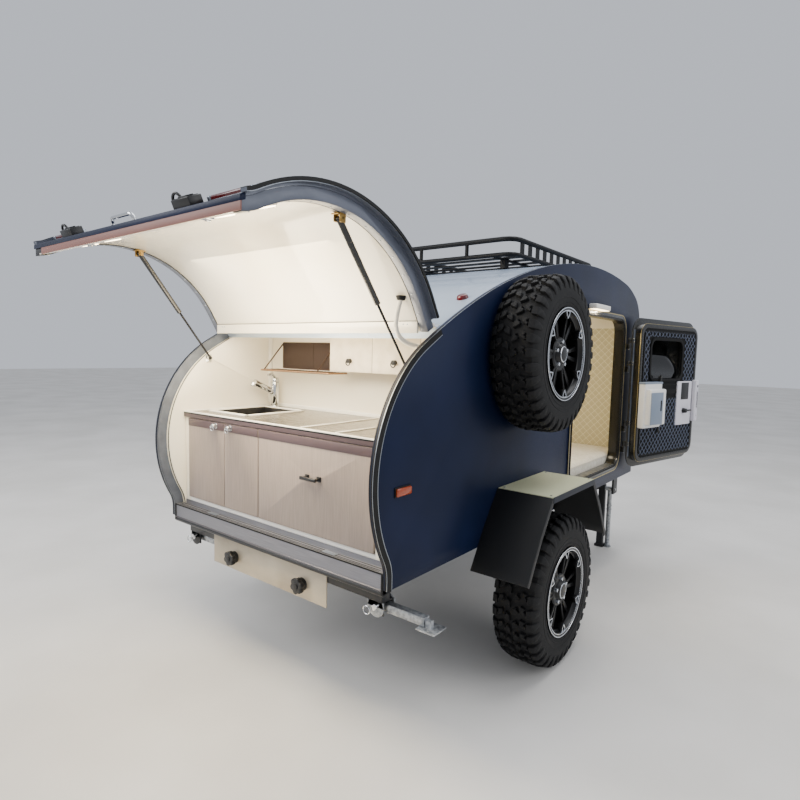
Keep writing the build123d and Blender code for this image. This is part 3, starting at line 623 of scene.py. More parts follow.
def quilt(name, columns, rows, place, material, keep=None):
    """A quilted sheet of whole diamond quarters: place turns two lengths and a swell into a point."""
    bpy.ops.object.select_all(action="DESELECT")
    bpy.ops.mesh.primitive_grid_add(x_subdivisions=columns, y_subdivisions=rows, size=2)
    sheet = bpy.context.object
    for corner in sheet.data.vertices:
        u = quilt_step * round((corner.co.x + 1) / 2 * columns)
        v = quilt_step * round((corner.co.y + 1) / 2 * rows)
        swell = sqrt(abs(sin(pi * (u + v) / quilt_pitch) * sin(pi * (u - v) / quilt_pitch)))
        corner.co = place(u, v, seam_swell + pillow_swell * swell)
    if keep:
        bpy.ops.object.mode_set(mode="EDIT")
        bpy.ops.mesh.select_mode(type="FACE")
        bpy.ops.mesh.select_all(action="DESELECT")
        bpy.ops.object.mode_set(mode="OBJECT")
        for face in sheet.data.polygons:
            face.select = not keep(face.center)
        bpy.ops.object.mode_set(mode="EDIT")
        bpy.ops.mesh.delete(type="FACE")
        bpy.ops.mesh.select_mode(type="VERT")
        bpy.ops.object.mode_set(mode="OBJECT")
    return settle(sheet, name, "root", "lining", material, 60)


nose_inside = 1.8008
nose_foot = 0.700


def nose_place(u, v, swell):
    """The nose's inner face, from the floor up to where the roof turns over."""
    return station(lining_left + u, nose_inside - swell, nose_foot + v)


nose_vinyl = quilted_vinyl("quilted_vinyl_nose", (0, 2), (lining_left, road_z + nose_foot))
quilt("nose_quilt", 96, 74, nose_place, nose_vinyl)


def ceiling_place(u, v, swell):
    """The ceiling from the bulkhead forward, following the roof."""
    y = lining_rear + v
    return station(lining_left + u, y, roof_inside(y, ceiling_depth + swell))


ceiling_vinyl = quilted_vinyl("quilted_vinyl_ceiling", (0, 1), (lining_left, axle_y + lining_rear))
quilt("ceiling_quilt", 96, 158, ceiling_place, ceiling_vinyl)
side_vinyl = quilted_vinyl("quilted_vinyl_sides", (1, 2), (axle_y + lining_rear, road_z + lining_foot))
lining_front = 1.80
for side_name, side in both_sides:

    def wall_place(u, v, swell):
        """The inner face of a side wall beside the mattress, up to the ceiling."""
        y = lining_rear + u
        ceiling = roof_inside(min(y, lining_front), ceiling_depth + 0.002)
        return station(side * (lining_x - swell), y, min(lining_foot + v, ceiling))

    def beside_door(centre):
        """Whether a face is outside the door opening and not folded flat under the ceiling."""
        y, z = centre.y - axle_y, centre.z - road_z
        beside = abs(y - door_middle[0]) > door_half[0] or abs(z - door_middle[1]) > door_half[1]
        return beside and z < roof_inside(min(y, lining_front), ceiling_depth + 0.0025)

    quilt(f"cabin_quilt_{side_name}", 162, 86, wall_place, side_vinyl, beside_door)
dress("galley_bulkhead", (cream_board,))

# Door frames: black powder-coated aluminium with a bulb seal in the rebate and a bright bolt between
# the hinge leaves. A thin gold line round the flange is a painted highlight, the warm porch lamp's reflection
# on the black edge, and a chrome strike sits on its rear side.
olive_black, shader = finish("gloss_olive_black_powder_coat", "#131310", 0.28, 0.1, 0.15)
roughen(olive_black, shader, 0.003, 0.00005, low=0.2, high=0.3)
chrome, shader = finish("polished_chrome", "#d6d8da", 0.08, 1.0)
roughen(chrome, shader, 0.03, 0.00002, low=0.06, high=0.13)
# Painted highlight: the warm porch lamp's reflection along the black edges, drawn as a thin gold line.
painted_highlight_line, shader = finish("painted_warm_edge_highlight", "#b9a878", 0.3, 0.6)
roughen(painted_highlight_line, shader, 0.01, 0.00003, low=0.26, high=0.4)


def round_rectangle(middle, size, corner, inset=0, steps=6):
    """A rectangle with round corners, drawn in by inset, as pairs about its middle."""
    pairs = []
    for turn, a, b in ((0, 1, 1), (90, -1, 1), (180, -1, -1), (270, 1, -1)):
        for k in range(steps + 1):
            way = radians(turn + 90 * k / steps)
            along = middle[0] + a * (size[0] / 2 - corner) + (corner - inset) * cos(way)
            up = middle[1] + b * (size[1] / 2 - corner) + (corner - inset) * sin(way)
            pairs.append((along, up))
    return pairs


def closed_band(loops):
    """A closed frame through loops of corners, each of them one edge of its section."""
    count = len(loops[0])
    faces = []
    for ring in range(len(loops)):
        here, there = ring * count, (ring + 1) % len(loops) * count
        for k in range(count):
            after = (k + 1) % count
            faces.append((here + k, here + after, there + after, there + k))
    return face_outwards(new_mesh("band", [corner for loop in loops for corner in loop], faces=faces))


def ring_band(x, outer, inner, corners):
    """A flat band round the door opening, between two round-cornered rectangles and two x."""
    outside, inside = (outer, corners[0]), (inner, corners[1])
    edges = ((x[0], *outside), (x[1], *outside), (x[1], *inside), (x[0], *inside))
    return closed_band([
        [station(place, y, z) for y, z in round_rectangle(door_middle, size, corner)]
        for place, size, corner in edges
    ])


hinge_heights = (0.873, 1.020, 1.441, 1.601)
for side_name, side in both_sides:
    dress(f"door_frame_{side_name}", (olive_black,), bevel=0.0015)
    # A painted highlight runs round the frame's flange as a thin gold ring.
    gold = ring_band((side * 0.7258, side * 0.7272), (0.949, 1.077), (0.937, 1.065), (0.112, 0.106))
    settle(gold, f"door_gold_line_{side_name}", "root", "frame_black", painted_highlight_line)
    seal = ring_band((side * 0.7255, side * 0.7300), (0.898, 1.026), (0.884, 1.012), (0.094, 0.088))
    soften(seal, 0.002, 3)
    settle(seal, f"door_seal_{side_name}", "root", "frame_black", rubber_seal)
    trim = ring_band((side * 0.6690, side * 0.6540), (0.952, 1.080), (0.876, 1.004), (0.112, 0.086))
    soften(trim, 0.003, 2)
    settle(trim, f"door_inner_trim_{side_name}", "root", "frame_black", olive_black)
    pins = []
    for z in hinge_heights:
        for height in (z - 0.028, z - 0.012):
            pins.append(bar((side * 0.7420, 1.5345, height), (side * 0.7420, 1.5425, height), 0.0055, 6))
        pins.append(bar((side * 0.750, 1.531, z - 0.0415), (side * 0.750, 1.531, z - 0.0395), 0.0075, 20))
    settle(together(pins), f"door_hinge_bolts_{side_name}", "root", "chrome", chrome)
    strike = [block((side * 0.7255, side * 0.7285), (0.592, 0.622), (1.180, 1.260), 0.001)]
    for height in (1.192, 1.210, 1.228, 1.246):
        across = (side * 0.7280, side * 0.7305)
        strike.append(block(across, (0.598, 0.616), (height - 0.006, height + 0.006), 0.001))
    settle(together(strike), f"door_strike_{side_name}", "root", "chrome", chrome)
    # The tread strip at the door sill is painted shade: its dark marbling stands for the mattress's cream
    # side in shade.
    sill = block((side * 0.668, side * 0.722), (0.66, 1.455), (0.7525, 0.7560), 0.001)
    tread_shade, shader = finish(f"painted_shade_tread_strip_{side_name}", "#3a3a38", 0.35)
    mottle(tread_shade, shader, ("#2b2b2a", "#6d6c67"), 0.02, detail=5.0)
    settle(sill, f"door_tread_strip_{side_name}", "root", "frame_black", tread_shade)

# Porch lamps: a white housing with a frosted lens along its underside, lit, screwed on above each door.
lamp_glow, shader = finish("lit_frosted_lens", "#fff3d8", 0.3)
shader.inputs["Emission Color"].default_value = colour("#ffe6b8")
shader.inputs["Emission Strength"].default_value = 9.0
roughen(lamp_glow, shader, 0.004, 0.00005)
dress("porch_lamps", (white_plastic,), bevel=0.005)
warm_light = (1.0, 0.86, 0.62)
for side_name, side in both_sides:
    lens = block((side * 0.728, side * 0.765), (0.812, 1.038), (1.7885, 1.7925), 0.0015)
    settle(lens, f"porch_lens_{side_name}", "root", "lamp_white", lamp_glow)
    bpy.ops.object.light_add(type="AREA", location=station(side * 0.76, 0.925, 1.780))
    glow = bpy.context.object
    glow.name = f"porch_glow_{side_name}"
    glow.data.shape = "RECTANGLE"
    glow.data.size = 0.22
    glow.data.size_y = 0.03
    glow.data.energy = 3.5
    glow.data.color = warm_light

# Galley fronts: boards faced with a taupe laminate of fine vertical grain, edge-banded. A mauve band along
# their top is painted shadow, the shade under the worktop's edge, and carries chrome ring pulls. The drawer
# has a black bar, and the carcass is pale board.
taupe_laminate, shader = finish("taupe_grained_laminate", "#8d8078", 0.48)
mottle(taupe_laminate, shader, ("#887b73", "#94877e"), 0.003, detail=4.0, stretch=(1, 1, 0.03))
roughen(taupe_laminate, shader, 0.004, 0.00004, stretch=(1, 1, 0.03), low=0.42, high=0.55)
edge_band, shader = finish("taupe_pvc_edge_band", "#857a73", 0.42)
roughen(edge_band, shader, 0.01, 0.00003)
# This mauve colours the worktop's front edge and, on the fronts below it, a painted shadow band.
mauve_edge_and_shadow_band, shader = finish("mauve_edge_and_painted_shadow_band", "#4d3d40", 0.5)
mottle(mauve_edge_and_shadow_band, shader, ("#47383b", "#534347"), 0.05, stretch=(0.1, 1, 1))
carcass_board, shader = finish("pale_melamine_board", "#cfc7bb", 0.5)
mottle(carcass_board, shader, ("#c6beb2", "#d6cfc4"), 0.1)
handle_black, shader = finish("satin_black_powder_coat", "#141415", 0.35)
roughen(handle_black, shader, 0.0015, 0.00004, low=0.3, high=0.42)


def front_finish(pull_y):
    """Sorts a front's faces into its facing, its edge band and, beyond pull_y, its pull."""

    def choose(centre, normal):
        if centre.y < axle_y + pull_y:
            return 2
        return 0 if abs(normal.y) > 0.7 else 1

    return choose


def ring_pull(x, y, z, radius, wire):
    """A wire ring that hangs with its plane turned towards the back."""
    bpy.ops.object.select_all(action="DESELECT")
    bpy.ops.mesh.primitive_torus_add(
        major_segments=32,
        minor_segments=10,
        location=station(x, y, z),
        rotation=(pi / 2, 0, 0),
        major_radius=radius,
        minor_radius=wire,
    )
    return bpy.context.object


dress("base_cabinet", (carcass_board,), bevel=0.001)
front_rows = [  # node, left x, right x, ring pull x
    ("galley_door_left", -0.622, -0.321, -0.385),
    ("galley_door_middle", -0.317, -0.068, -0.270),
    ("galley_drawer", -0.062, 0.622, None),
]
for node, left, right, pull in front_rows:
    body = body_of[node]
    material = handle_black if pull is None else chrome
    dress(node, (taupe_laminate, edge_band, material), front_finish(-1.0165), 0.0012)
    # The band along each front's top is painted shadow: the shade cast by the worktop's edge.
    band = block((left + 0.001, right - 0.001), (-1.0185, -1.0155), (1.112, 1.1475), 0.0008)
    settle(band, f"{node}_band", body, "cabinet_board", mauve_edge_and_shadow_band)
    if pull is not None:
        ring = ring_pull(pull, -1.0385, 1.124, 0.014, 0.0022)
        rose = bar((pull, -1.0185, 1.132), (pull, -1.0205, 1.132), 0.014)
        settle(together([ring, rose]), f"{node}_ring_pull", body, "chrome", chrome)
feet = [block((x - 0.011, x + 0.011), (-1.022, -1.0155), (0.974, 0.996), 0.002) for x in (0.258, 0.327)]
grip = block((0.246, 0.339), (-1.0525, -1.0405), (0.978, 0.992), 0.003, 3)
settle(together(feet + [grip]), "drawer_bar_handle", "galley_drawer", "frame_black", handle_black)
for side_name, side in both_sides[::-1]:
    post = block((side * 0.624, side * 0.662), (-1.0080, -0.470), (0.7255, 1.1515), 0.002)
    settle(post, f"cabinet_post_{side_name}", "root", "cabinet_board", cream_board)

# Worktop: a folded stainless sheet with a white raised rim at the front, at the back and round the sink.
# The black sink is pressed, with a drain, and the chrome mixer tap stands behind it.
stainless, shader = finish("brushed_stainless_sheet", "#858078", 0.28, 0.9)
mottle(stainless, shader, ("#7e7970", "#8d877e"), 0.002, stretch=(0.02, 1, 1))
roughen(stainless, shader, 0.002, 0.00002, stretch=(0.02, 1, 1), low=0.2, high=0.34)
sink_black, shader = finish("black_granite_composite", "#18181a", 0.5)
roughen(sink_black, shader, 0.0012, 0.00008, low=0.4, high=0.6)
worktop_foot = 1.151
worktop_top = 1.1765


def worktop_finish(centre, normal):
    """The worktop is steel on top, mauve along its front face, and black where the sink hangs below it."""
    if centre.z < road_z + worktop_foot:
        return 1
    return 2 if normal.y < -0.5 and centre.y < axle_y - 1.0 else 0


dress("worktop", (stainless, sink_black, mauve_edge_and_shadow_band), worktop_finish, 0.0012)
front_line = block((-0.662, 0.662), (-1.0192, -1.0175), (1.1715, 1.1768), 0.0004)
settle(front_line, "worktop_front_line", "root", "frame_black", rubber_seal)
rim_rows = [  # across, along, top
    ((-0.662, 0.662), (-1.0195, -1.0035), 1.1825),
    ((-0.662, 0.662), (-0.4735, -0.4600), 1.1960),
    ((-0.662, -0.650), (-1.0035, -0.4735), 1.1850),
    ((0.650, 0.662), (-1.0035, -0.4735), 1.1850),
]
rims = [block(x, y, (worktop_top, top), 0.0025) for x, y, top in rim_rows]
settle(together(rims), "worktop_rims", "root", "stainless", white_plastic)


def four_walls(x, y, z, thick, bevel):
    """Four straight walls along the inside of a rectangle's edges."""
    return [
        block(x, (y[0], y[0] + thick), z, bevel),
        block(x, (y[1] - thick, y[1]), z, bevel),
        block((x[0], x[0] + thick), y, z, bevel),
        block((x[1] - thick, x[1]), y, z, bevel),
    ]


sink_rims = four_walls((-0.616, -0.284), (-0.916, -0.544), (worktop_top, 1.1845), 0.019, 0.003)
settle(together(sink_rims), "sink_rim", "root", "stainless", white_plastic)
bowl_x, bowl_y, bowl_foot, bowl_sheet = (-0.5995, -0.3005), (-0.8995, -0.5605), 1.0335, 0.003
bowl = [block(bowl_x, bowl_y, (bowl_foot, bowl_foot + bowl_sheet), 0.001)]
bowl += four_walls(bowl_x, bowl_y, (bowl_foot, 1.1780), bowl_sheet, 0.001)
settle(together(bowl), "sink_bowl_black", "root", "stainless", sink_black)
drain_rows = ((1.036, 1.0395, 0.040), (1.039, 1.042, 0.026))
drain = [bar((-0.45, -0.73, low), (-0.45, -0.73, high), radius, 32) for low, high, radius in drain_rows]
settle(together(drain), "sink_drain", "root", "chrome", chrome)
rib_rows = (((0.175, 0.187), (-0.985, -0.490)), ((0.385, 0.397), (-0.990, -0.750)))
ribs = [block(x, y, (worktop_top, 1.1815), 0.002) for x, y in rib_rows]
settle(together(ribs), "worktop_ribs", "root", "stainless", white_plastic)


def smooth_line(points, resolution, closed=False):
    """A smooth line led by its points, still without thickness."""
    line = bpy.data.curves.new("line", "CURVE")
    line.dimensions = "3D"
    spline = line.splines.new("NURBS")
    spline.points.add(len(points) - 1)
    for stop, place in zip(spline.points, points):
        stop.co = (*station(*place), 1)
    spline.order_u = 3
    spline.use_endpoint_u = not closed
    spline.use_cyclic_u = closed
    spline.resolution_u = resolution
    made = bpy.data.objects.new("line", line)
    bpy.context.collection.objects.link(made)
    return made


def pipe(points, radius, closed=False, resolution=6, sides=4):
    """A round tube along a smooth line, made a mesh."""
    made = smooth_line(points, resolution, closed)
    made.data.bevel_depth = radius
    made.data.bevel_resolution = sides
    made.data.use_fill_caps = not closed
    only(made)
    bpy.ops.object.convert(target="MESH")
    return bpy.context.object


spout = [(-0.572, -0.508, 1.342), (-0.570, -0.520, 1.356), (-0.562, -0.545, 1.362), (-0.552, -0.575, 1.360)]
tap_parts = [
    bar((-0.572, -0.508, 1.1770), (-0.572, -0.508, 1.1850), 0.030, 32, bevel=0.002),
    bar((-0.572, -0.508, 1.1850), (-0.572, -0.508, 1.3180), 0.0225, 32, bevel=0.003),
    bar((-0.572, -0.508, 1.3180), (-0.572, -0.508, 1.3440), 0.0240, 32, 0.0190, 0.005),
    bar((-0.574, -0.512, 1.2560), (-0.590, -0.560, 1.2860), 0.0170, 24, bevel=0.002),
    bar((-0.590, -0.560, 1.2860), (-0.601, -0.632, 1.3180), 0.0170, 24, 0.0200, 0.003),
    bar((-0.601, -0.630, 1.3170), (-0.602, -0.640, 1.2960), 0.0150, 24, bevel=0.002),
    pipe(spout, 0.0065),
]
settle(together(tap_parts), "mixer_tap", "root", "chrome", chrome, 35, ("tap",))

# Upper cabinet and wire shelf: pale fronts with black ring pulls, and beside them a bent copper-plated rail
# with thin dark wires and a fine mesh on a bronze-tinted backing, screwed to the bulkhead.
pale_front, shader = finish("cream_beige_laminate", "#d8cdb9", 0.42)
mottle(pale_front, shader, ("#d1c6b1", "#e0d6c4"), 0.06)
copper, shader = finish("brushed_copper_plate", "#a48468", 0.3, 0.8)
roughen(copper, shader, 0.003, 0.00004, low=0.24, high=0.4)
bronze_wire, shader = finish("dark_bronze_wire", "#54423a", 0.42, 0.5)
roughen(bronze_wire, shader, 0.002, 0.00003, low=0.36, high=0.5)
dress("upper_cabinet", (pale_front, cream_board), lambda c, n: 0 if c.y < axle_y - 0.59 else 1, 0.001)
for node, middle in (("upper_door_left", 0.0945), ("upper_door_right", 0.3715)):
    dress(node, (pale_front, edge_band, handle_black), front_finish(-0.6005), 0.0012)
    pull = ring_pull(middle, -0.6165, 1.448, 0.013, 0.0028)
    settle(pull, f"{node}_ring_pull", body_of[node], "frame_black", handle_black)
shelf_left, shelf_right, shelf_z = -0.588, -0.053, 1.388
shelf_turns = [
    (shelf_left, -0.470), (shelf_left, -0.590), (-0.580, -0.600), (-0.300, -0.600),
    (-0.060, -0.600), (shelf_right, -0.592), (shelf_right, -0.470),
]
rail = pipe([(x, y, shelf_z) for x, y in shelf_turns], 0.0052)
settle(rail, "shelf_copper_rail", "root", "shelf_wire", copper)
wires = []
for y in (-0.565, -0.530, -0.495, -0.4700):
    wires.append(bar((shelf_left, y, shelf_z), (shelf_right, y, shelf_z), 0.0026, 10, bevel=0))
wire_pitch = 0.0245
for k in range(22):
    x = -0.575 + k * wire_pitch
    wires.append(bar((x, -0.600, 1.3905), (x, -0.466, 1.3905), 0.0014, 8, bevel=0))
for x in (-0.555, -0.138):
    wires.append(bar((x, -0.600, 1.390), (x, -0.463, 1.538), 0.0036, 12, bevel=0))
settle(together(wires), "shelf_wires", "root", "shelf_wire", bronze_wire)
panel_x, panel_z = (-0.555, -0.060), (1.400, 1.540)
frame_bars = [bar((x, -0.4635, panel_z[0]), (x, -0.4635, panel_z[1]), 0.0034, 12, bevel=0) for x in panel_x]
frame_bars += [bar((panel_x[0], -0.4635, z), (panel_x[1], -0.4635, z), 0.0034, 12, bevel=0) for z in panel_z]
mesh_pitch = 0.005
for k in range(27):
    z = panel_z[0] + (k + 1) * mesh_pitch
    frame_bars.append(bar((panel_x[0], -0.4655, z), (panel_x[1], -0.4655, z), 0.0012, 6, bevel=0))
frame_bars.append(bar((-0.308, -0.4640, panel_z[0]), (-0.308, -0.4640, panel_z[1]), 0.0014, 6, bevel=0))
settle(together(frame_bars), "shelf_mesh_panel", "root", "shelf_wire", bronze_wire)
shelf_back, shader = finish("bronze_tinted_backing", "#6a5c56", 0.5, 0.2)
roughen(shelf_back, shader, 0.002, 0.00003)
back = block((-0.553, -0.062), (-0.4625, -0.4602), (1.402, 1.538), 0.0008)
settle(back, "shelf_backing", "root", "shelf_wire", shelf_back, 35, ("wire_shelf",))
strip = block((-0.6705, -0.650), (-0.4800, -0.4600), (1.197, 1.580), 0.004)
settle(strip, "corner_strip_left", "root", "lining", white_plastic)

# Mattress: foam in a cream knitted cover with a piped seam round its top edge. It lies on the floor board.
knit, shader = finish("cream_knitted_ticking", "#ddd6c4", 0.85)
shader.inputs["Sheen Weight"].default_value = 0.25
mottle(knit, shader, ("#d5cdb9", "#e6e0d1"), 0.02)
roughen(knit, shader, 0.0035, 0.0003, low=0.8, high=0.9)
pad_half, pad_rear, pad_front = 0.652, -0.415, 1.788
tuft_pitch = 0.26
pad = block((-pad_half, pad_half), (pad_rear, pad_front), (0.694, 0.822), 0.030, 4)
shape(pad, "REMESH", mode="VOXEL", voxel_size=0.022)
for corner in pad.data.vertices:
    y, z = corner.co.y - axle_y, corner.co.z - road_z
    if z > 0.76:
        edge = min(pad_half - abs(corner.co.x), y - pad_rear, pad_front - y)
        dimple = cos(2 * pi * corner.co.x / tuft_pitch) * cos(2 * pi * y / tuft_pitch)
        corner.co.z += 0.004 * min(max(edge, 0) / 0.1, 1) * (1 + dimple) - 0.002
shape(pad, "SUBSURF", levels=1, render_levels=1)
settle(pad, "mattress_pad", "root", "mattress_cloth", knit, 60, ("mattress",))
piping_turns = [
    (-0.640, -0.403), (0.640, -0.403), (pad_half, -0.391), (pad_half, 1.776),
    (0.640, pad_front), (-0.640, pad_front), (-pad_half, 1.776), (-pad_half, -0.391),
]
piping = [pipe([(x, y, z) for x, y in piping_turns], 0.0035, True, 3, 2) for z in (0.709, 0.806)]
settle(together(piping), "mattress_piping", "root", "mattress_cloth", knit)

# Tail hatch: a curved sandwich shell, navy outside, with a grey-blue flange round a glossy cream liner.
# A thick bulb seal runs along the flange. It turns on a full-width hinge at the roof's edge.
flange_blue, shader = finish("grey_blue_anodised_flange", "#5f636e", 0.42, 0.3)
mottle(flange_blue, shader, ("#585d69", "#666b78"), 0.3)
roughen(flange_blue, shader, 0.02, 0.00003, low=0.28, high=0.38)
gloss_liner, shader = finish("gloss_cream_liner", "#efe8d6", 0.2, coat=0.5)
mottle(gloss_liner, shader, ("#ebe3cf", "#f3eddf"), 0.4)
roughen(gloss_liner, shader, 0.12, 0.0005, low=0.16, high=0.24)
hatch_hinge_line = (-0.756, 1.610)
open_centre = (-1.3309, 1.4037)
brass, shader = finish("yellow_zinc_bracket", "#9c7d45", 0.35, 0.8)
mottle(brass, shader, ("#8f713b", "#aa8c52"), 0.01)
roughen(brass, shader, 0.004, 0.00004)


def hatch_finish(centre, normal):
    """The shell is navy outside, grey-blue on its edges, cream by the hinge, with zinc strut tabs."""
    y, z = centre.y - axle_y, centre.z - road_z
    strut_tab = abs(abs(centre.x) - 0.661) < 0.0035 and -1.27 < y < -1.22
    by_hinge = y > -0.80 and z < 1.62
    free_end = y < -1.645
    if strut_tab:
        return 4
    if by_hinge:
        return 3
    if abs(normal.x) > 0.7:
        return 1
    if free_end:
        return 2
    outward = (y - open_centre[0]) * normal.y + (z - open_centre[1]) * normal.z
    return 0 if outward > 0 else 1


shell_finishes = (navy_paint, flange_blue, chassis_paint, gloss_liner, brass)
dress("hatch_shell", shell_finishes, hatch_finish, 0.001)
dress("hatch_liner", (gloss_liner,), bevel=0.001)

# Open hatch outline as a run from its free edge to the hinge, which is the closed tail turned by 90 degrees
free_edge = (-1.0532, 0.713)
hatch_start = (
    hatch_hinge_line[0] + free_edge[1] - hatch_hinge_line[1],
    hatch_hinge_line[1] - free_edge[0] + hatch_hinge_line[0],
)
open_heading = 11.9
hatch_legs = [(0.150, 16.6), (0.590, -87.5), (3.530, -1.4)]
flange_section = [
    (0.6885, -0.003), (0.6955, -0.003), (0.6955, 0.006), (0.7150, 0.006), (0.7150, 0.016), (0.6885, 0.016),
]
cover_section = [
    (0.7150, 0.0072), (0.7195, 0.0072), (0.7195, 0.018), (0.6885, 0.018), (0.6885, 0.016), (0.7150, 0.016),
]
line_section = [(0.7136, 0.0048), (0.7152, 0.0048), (0.7152, 0.0064), (0.7136, 0.0064)]
hatch_trim_rows = [  # name, section, slot, finish
    ("hatch_edge_flange", flange_section, "hatch_paint", flange_blue),
    ("hatch_cover_lip", cover_section, "frame_black", rubber_seal),
    ("hatch_edge_line", line_section, "chrome", silver),
    ("hatch_liner_seal", round_section(0.657, -0.0415, 0.0018, 8), "frame_black", rubber_seal),
]
for side_name, side in both_sides:
    for name, section, slot, material in hatch_trim_rows:
        trim = run_along([(side * x, out) for x, out in section], hatch_legs, hatch_start, open_heading)
        settle(trim, f"{name}_{side_name}", "hatch", slot, material)

# Rivets along both flanges, with their heads inwards
rivet_pitch = 0.09
depths = (0.0425, 0.0450)
rivets = []
for side in (-1, 1):
    place, heading = hatch_start, open_heading
    for radius, turn in hatch_legs:
        count = max(1, round(radius * radians(abs(turn)) / rivet_pitch))
        for k in range(count):
            (y, z), way = walk([(radius, turn * (k + 0.5) / count)], place, heading)[:2]
            left = radians(way + 90)
            foot, head = ((side * 0.672, y - depth * cos(left), z - depth * sin(left)) for depth in depths)
            rivets.append(bar(foot, head, 0.0036, 12, 0.0024, 0))
        place, heading = walk([(radius, turn)], place, heading)[:2]
settle(together(rivets), "hatch_rivets", "hatch", "chrome", silver)

# Free edge of the hatch: a board whose pinkish-brown is painted light, the tail lamps' red glow on its
# aluminium, and a navy drip rail across it, chrome latch claws that reach for the sill's strikers, and four
# lit downlights with white rims in the liner.
# The edge board's pinkish-brown is painted light: bare aluminium lit red by the tail lamps.
painted_red_light_board, shader = finish("edge_board_painted_red_light", "#84574c", 0.5)
mottle(painted_red_light_board, shader, ("#7d5147", "#8c5e53"), 0.05, stretch=(0.1, 1, 1))
board = block((-0.625, 0.697), (-1.6620, -1.6575), (1.8655, 1.8910), 0.001)
settle(board, "hatch_edge_board", "hatch", "hatch_paint", painted_red_light_board)


def prism(name, low, high):
    """A closed solid between two loops of as many corners."""
    count = len(low)
    faces = [tuple(range(count))[::-1], tuple(range(count, 2 * count))]
    faces += [(k, (k + 1) % count, count + (k + 1) % count, count + k) for k in range(count)]
    return face_outwards(new_mesh(name, list(low) + list(high), faces=faces))


rail_section = [(-1.6630, 1.8900), (-1.6630, 1.9080), (-1.6450, 1.9140), (-1.6450, 1.8960)]
rail = prism("drip_rail", *([station(x, y, z) for y, z in rail_section] for x in (-0.697, 0.697)))
soften(rail, 0.0012)
settle(rail, "hatch_drip_rail", "hatch", "hatch_paint", navy_paint)
claws = []
for x in (-0.236, 0.513):
    claws.append(block((x - 0.017, x + 0.017), (-1.6500, -1.6280), (1.8660, 1.8860), 0.002))
    claws.append(block((x - 0.007, x + 0.007), (-1.6460, -1.6320), (1.8616, 1.8680), 0.002))
settle(together(claws), "hatch_latch_claws", "hatch", "chrome", chrome)
warm_glow, shader = finish("lit_warm_diffuser", "#fff0d0", 0.3)
shader.inputs["Emission Color"].default_value = colour("#ffe9c0")
shader.inputs["Emission Strength"].default_value = 14.0
roughen(warm_glow, shader, 0.003, 0.00005)
liner_radius = 0.549
lamp_y = -1.492
lamp_z = open_centre[1] + sqrt(liner_radius ** 2 - (lamp_y - open_centre[0]) ** 2)
down = Vector((0, open_centre[0] - lamp_y, open_centre[1] - lamp_z)).normalized()
lamp_rims, lamp_discs = [], []
for x in (0.580, 0.380, -0.380, -0.580):
    seat = Vector((x, lamp_y, lamp_z))
    lamp_rims.append(bar(seat - 0.003 * down, seat + 0.005 * down, 0.040, 32, 0.036, 0.0015))
    lamp_discs.append(bar(seat + 0.004 * down, seat + 0.0070 * down, 0.032, 32, bevel=0.001))
settle(together(lamp_rims), "downlight_rims", "hatch", "lamp_white", white_plastic)
settle(together(lamp_discs), "downlight_lenses", "hatch", "lamp_white", warm_glow)

# Hatch hardware on the skin: two black paddle locks with a round key cylinder, a bright arch handle between
# them, and a red acrylic tail lamp bar each side on a silver base with end caps.
dress("hatch_locks", (handle_black,), bevel=0.003)
dress("hatch_handle", (chrome,))
tail_slope = radians(23.5)
lamp_seat = (-1.0865, 0.790)
lock_seat = (-1.0615, 0.740)


def on_tail(piece, x, seat, proud=0):
    """Turns a piece made flat, its back down, onto the closed tail's slope and swings it open."""
    out = Vector((0, -cos(tail_slope), -sin(tail_slope)))
    up = Vector((0, -sin(tail_slope), cos(tail_slope)))
    lay = Matrix((Vector((1, 0, 0)), up, out)).transposed().to_4x4()
    pin = station(0, *hatch_hinge_line)
    swing = Matrix.Translation(pin) @ Matrix.Rotation(-pi / 2, 4, "X") @ Matrix.Translation(-pin)
    to_seat = Matrix.Translation(station(x, *seat) + proud * out)
    piece.matrix_world = swing @ to_seat @ lay @ Matrix.Translation(-station(0, 0, 0))
    apply_place(piece)
    return piece


for side_name, side in both_sides:
    lens = block((-0.098, 0.098), (-0.0185, 0.0185), (0.0, 0.022), 0.007, 4)
    on_tail(lens, side * 0.557, lamp_seat, -0.004)
    settle(lens, f"tail_lens_{side_name}", "hatch", "lamp_red", red_lens)
    cap = together([
        block((-0.110, -0.094), (-0.021, 0.021), (-0.008, 0.0182), 0.004, 3),
        block((0.094, 0.110), (-0.021, 0.021), (-0.008, 0.0182), 0.004, 3),
        block((-0.108, 0.108), (-0.021, 0.021), (-0.008, 0.006), 0.003),
    ])
    on_tail(cap, side * 0.557, lamp_seat)
    stands = ("tail_lamps",) if side == 1 else ()
    settle(cap, f"tail_lamp_base_{side_name}", "hatch", "lamp_red", silver, stands_for=stands)
    details = [block((-0.040, 0.040), (-0.018, 0.018), (0.0330, 0.0350), 0.001)]
    details.append(block((-0.026, 0.020), (-0.011, 0.011), (0.0345, 0.0385), 0.003))
    details.append(bar((0.032, 0, 0.0345), (0.032, 0, 0.0380), 0.006, 20))
    lock = on_tail(together(details), side * 0.400, lock_seat)
    settle(lock, f"hatch_lock_detail_{side_name}", "hatch", "frame_black", chassis_paint)
feet = [block((x - 0.012, x + 0.012), (-0.012, 0.012), (-0.002, 0.004), 0.0015) for x in (-0.075, 0.075)]
settle(on_tail(together(feet), 0, lock_seat), "hatch_handle_feet", "hatch", "chrome", chrome)

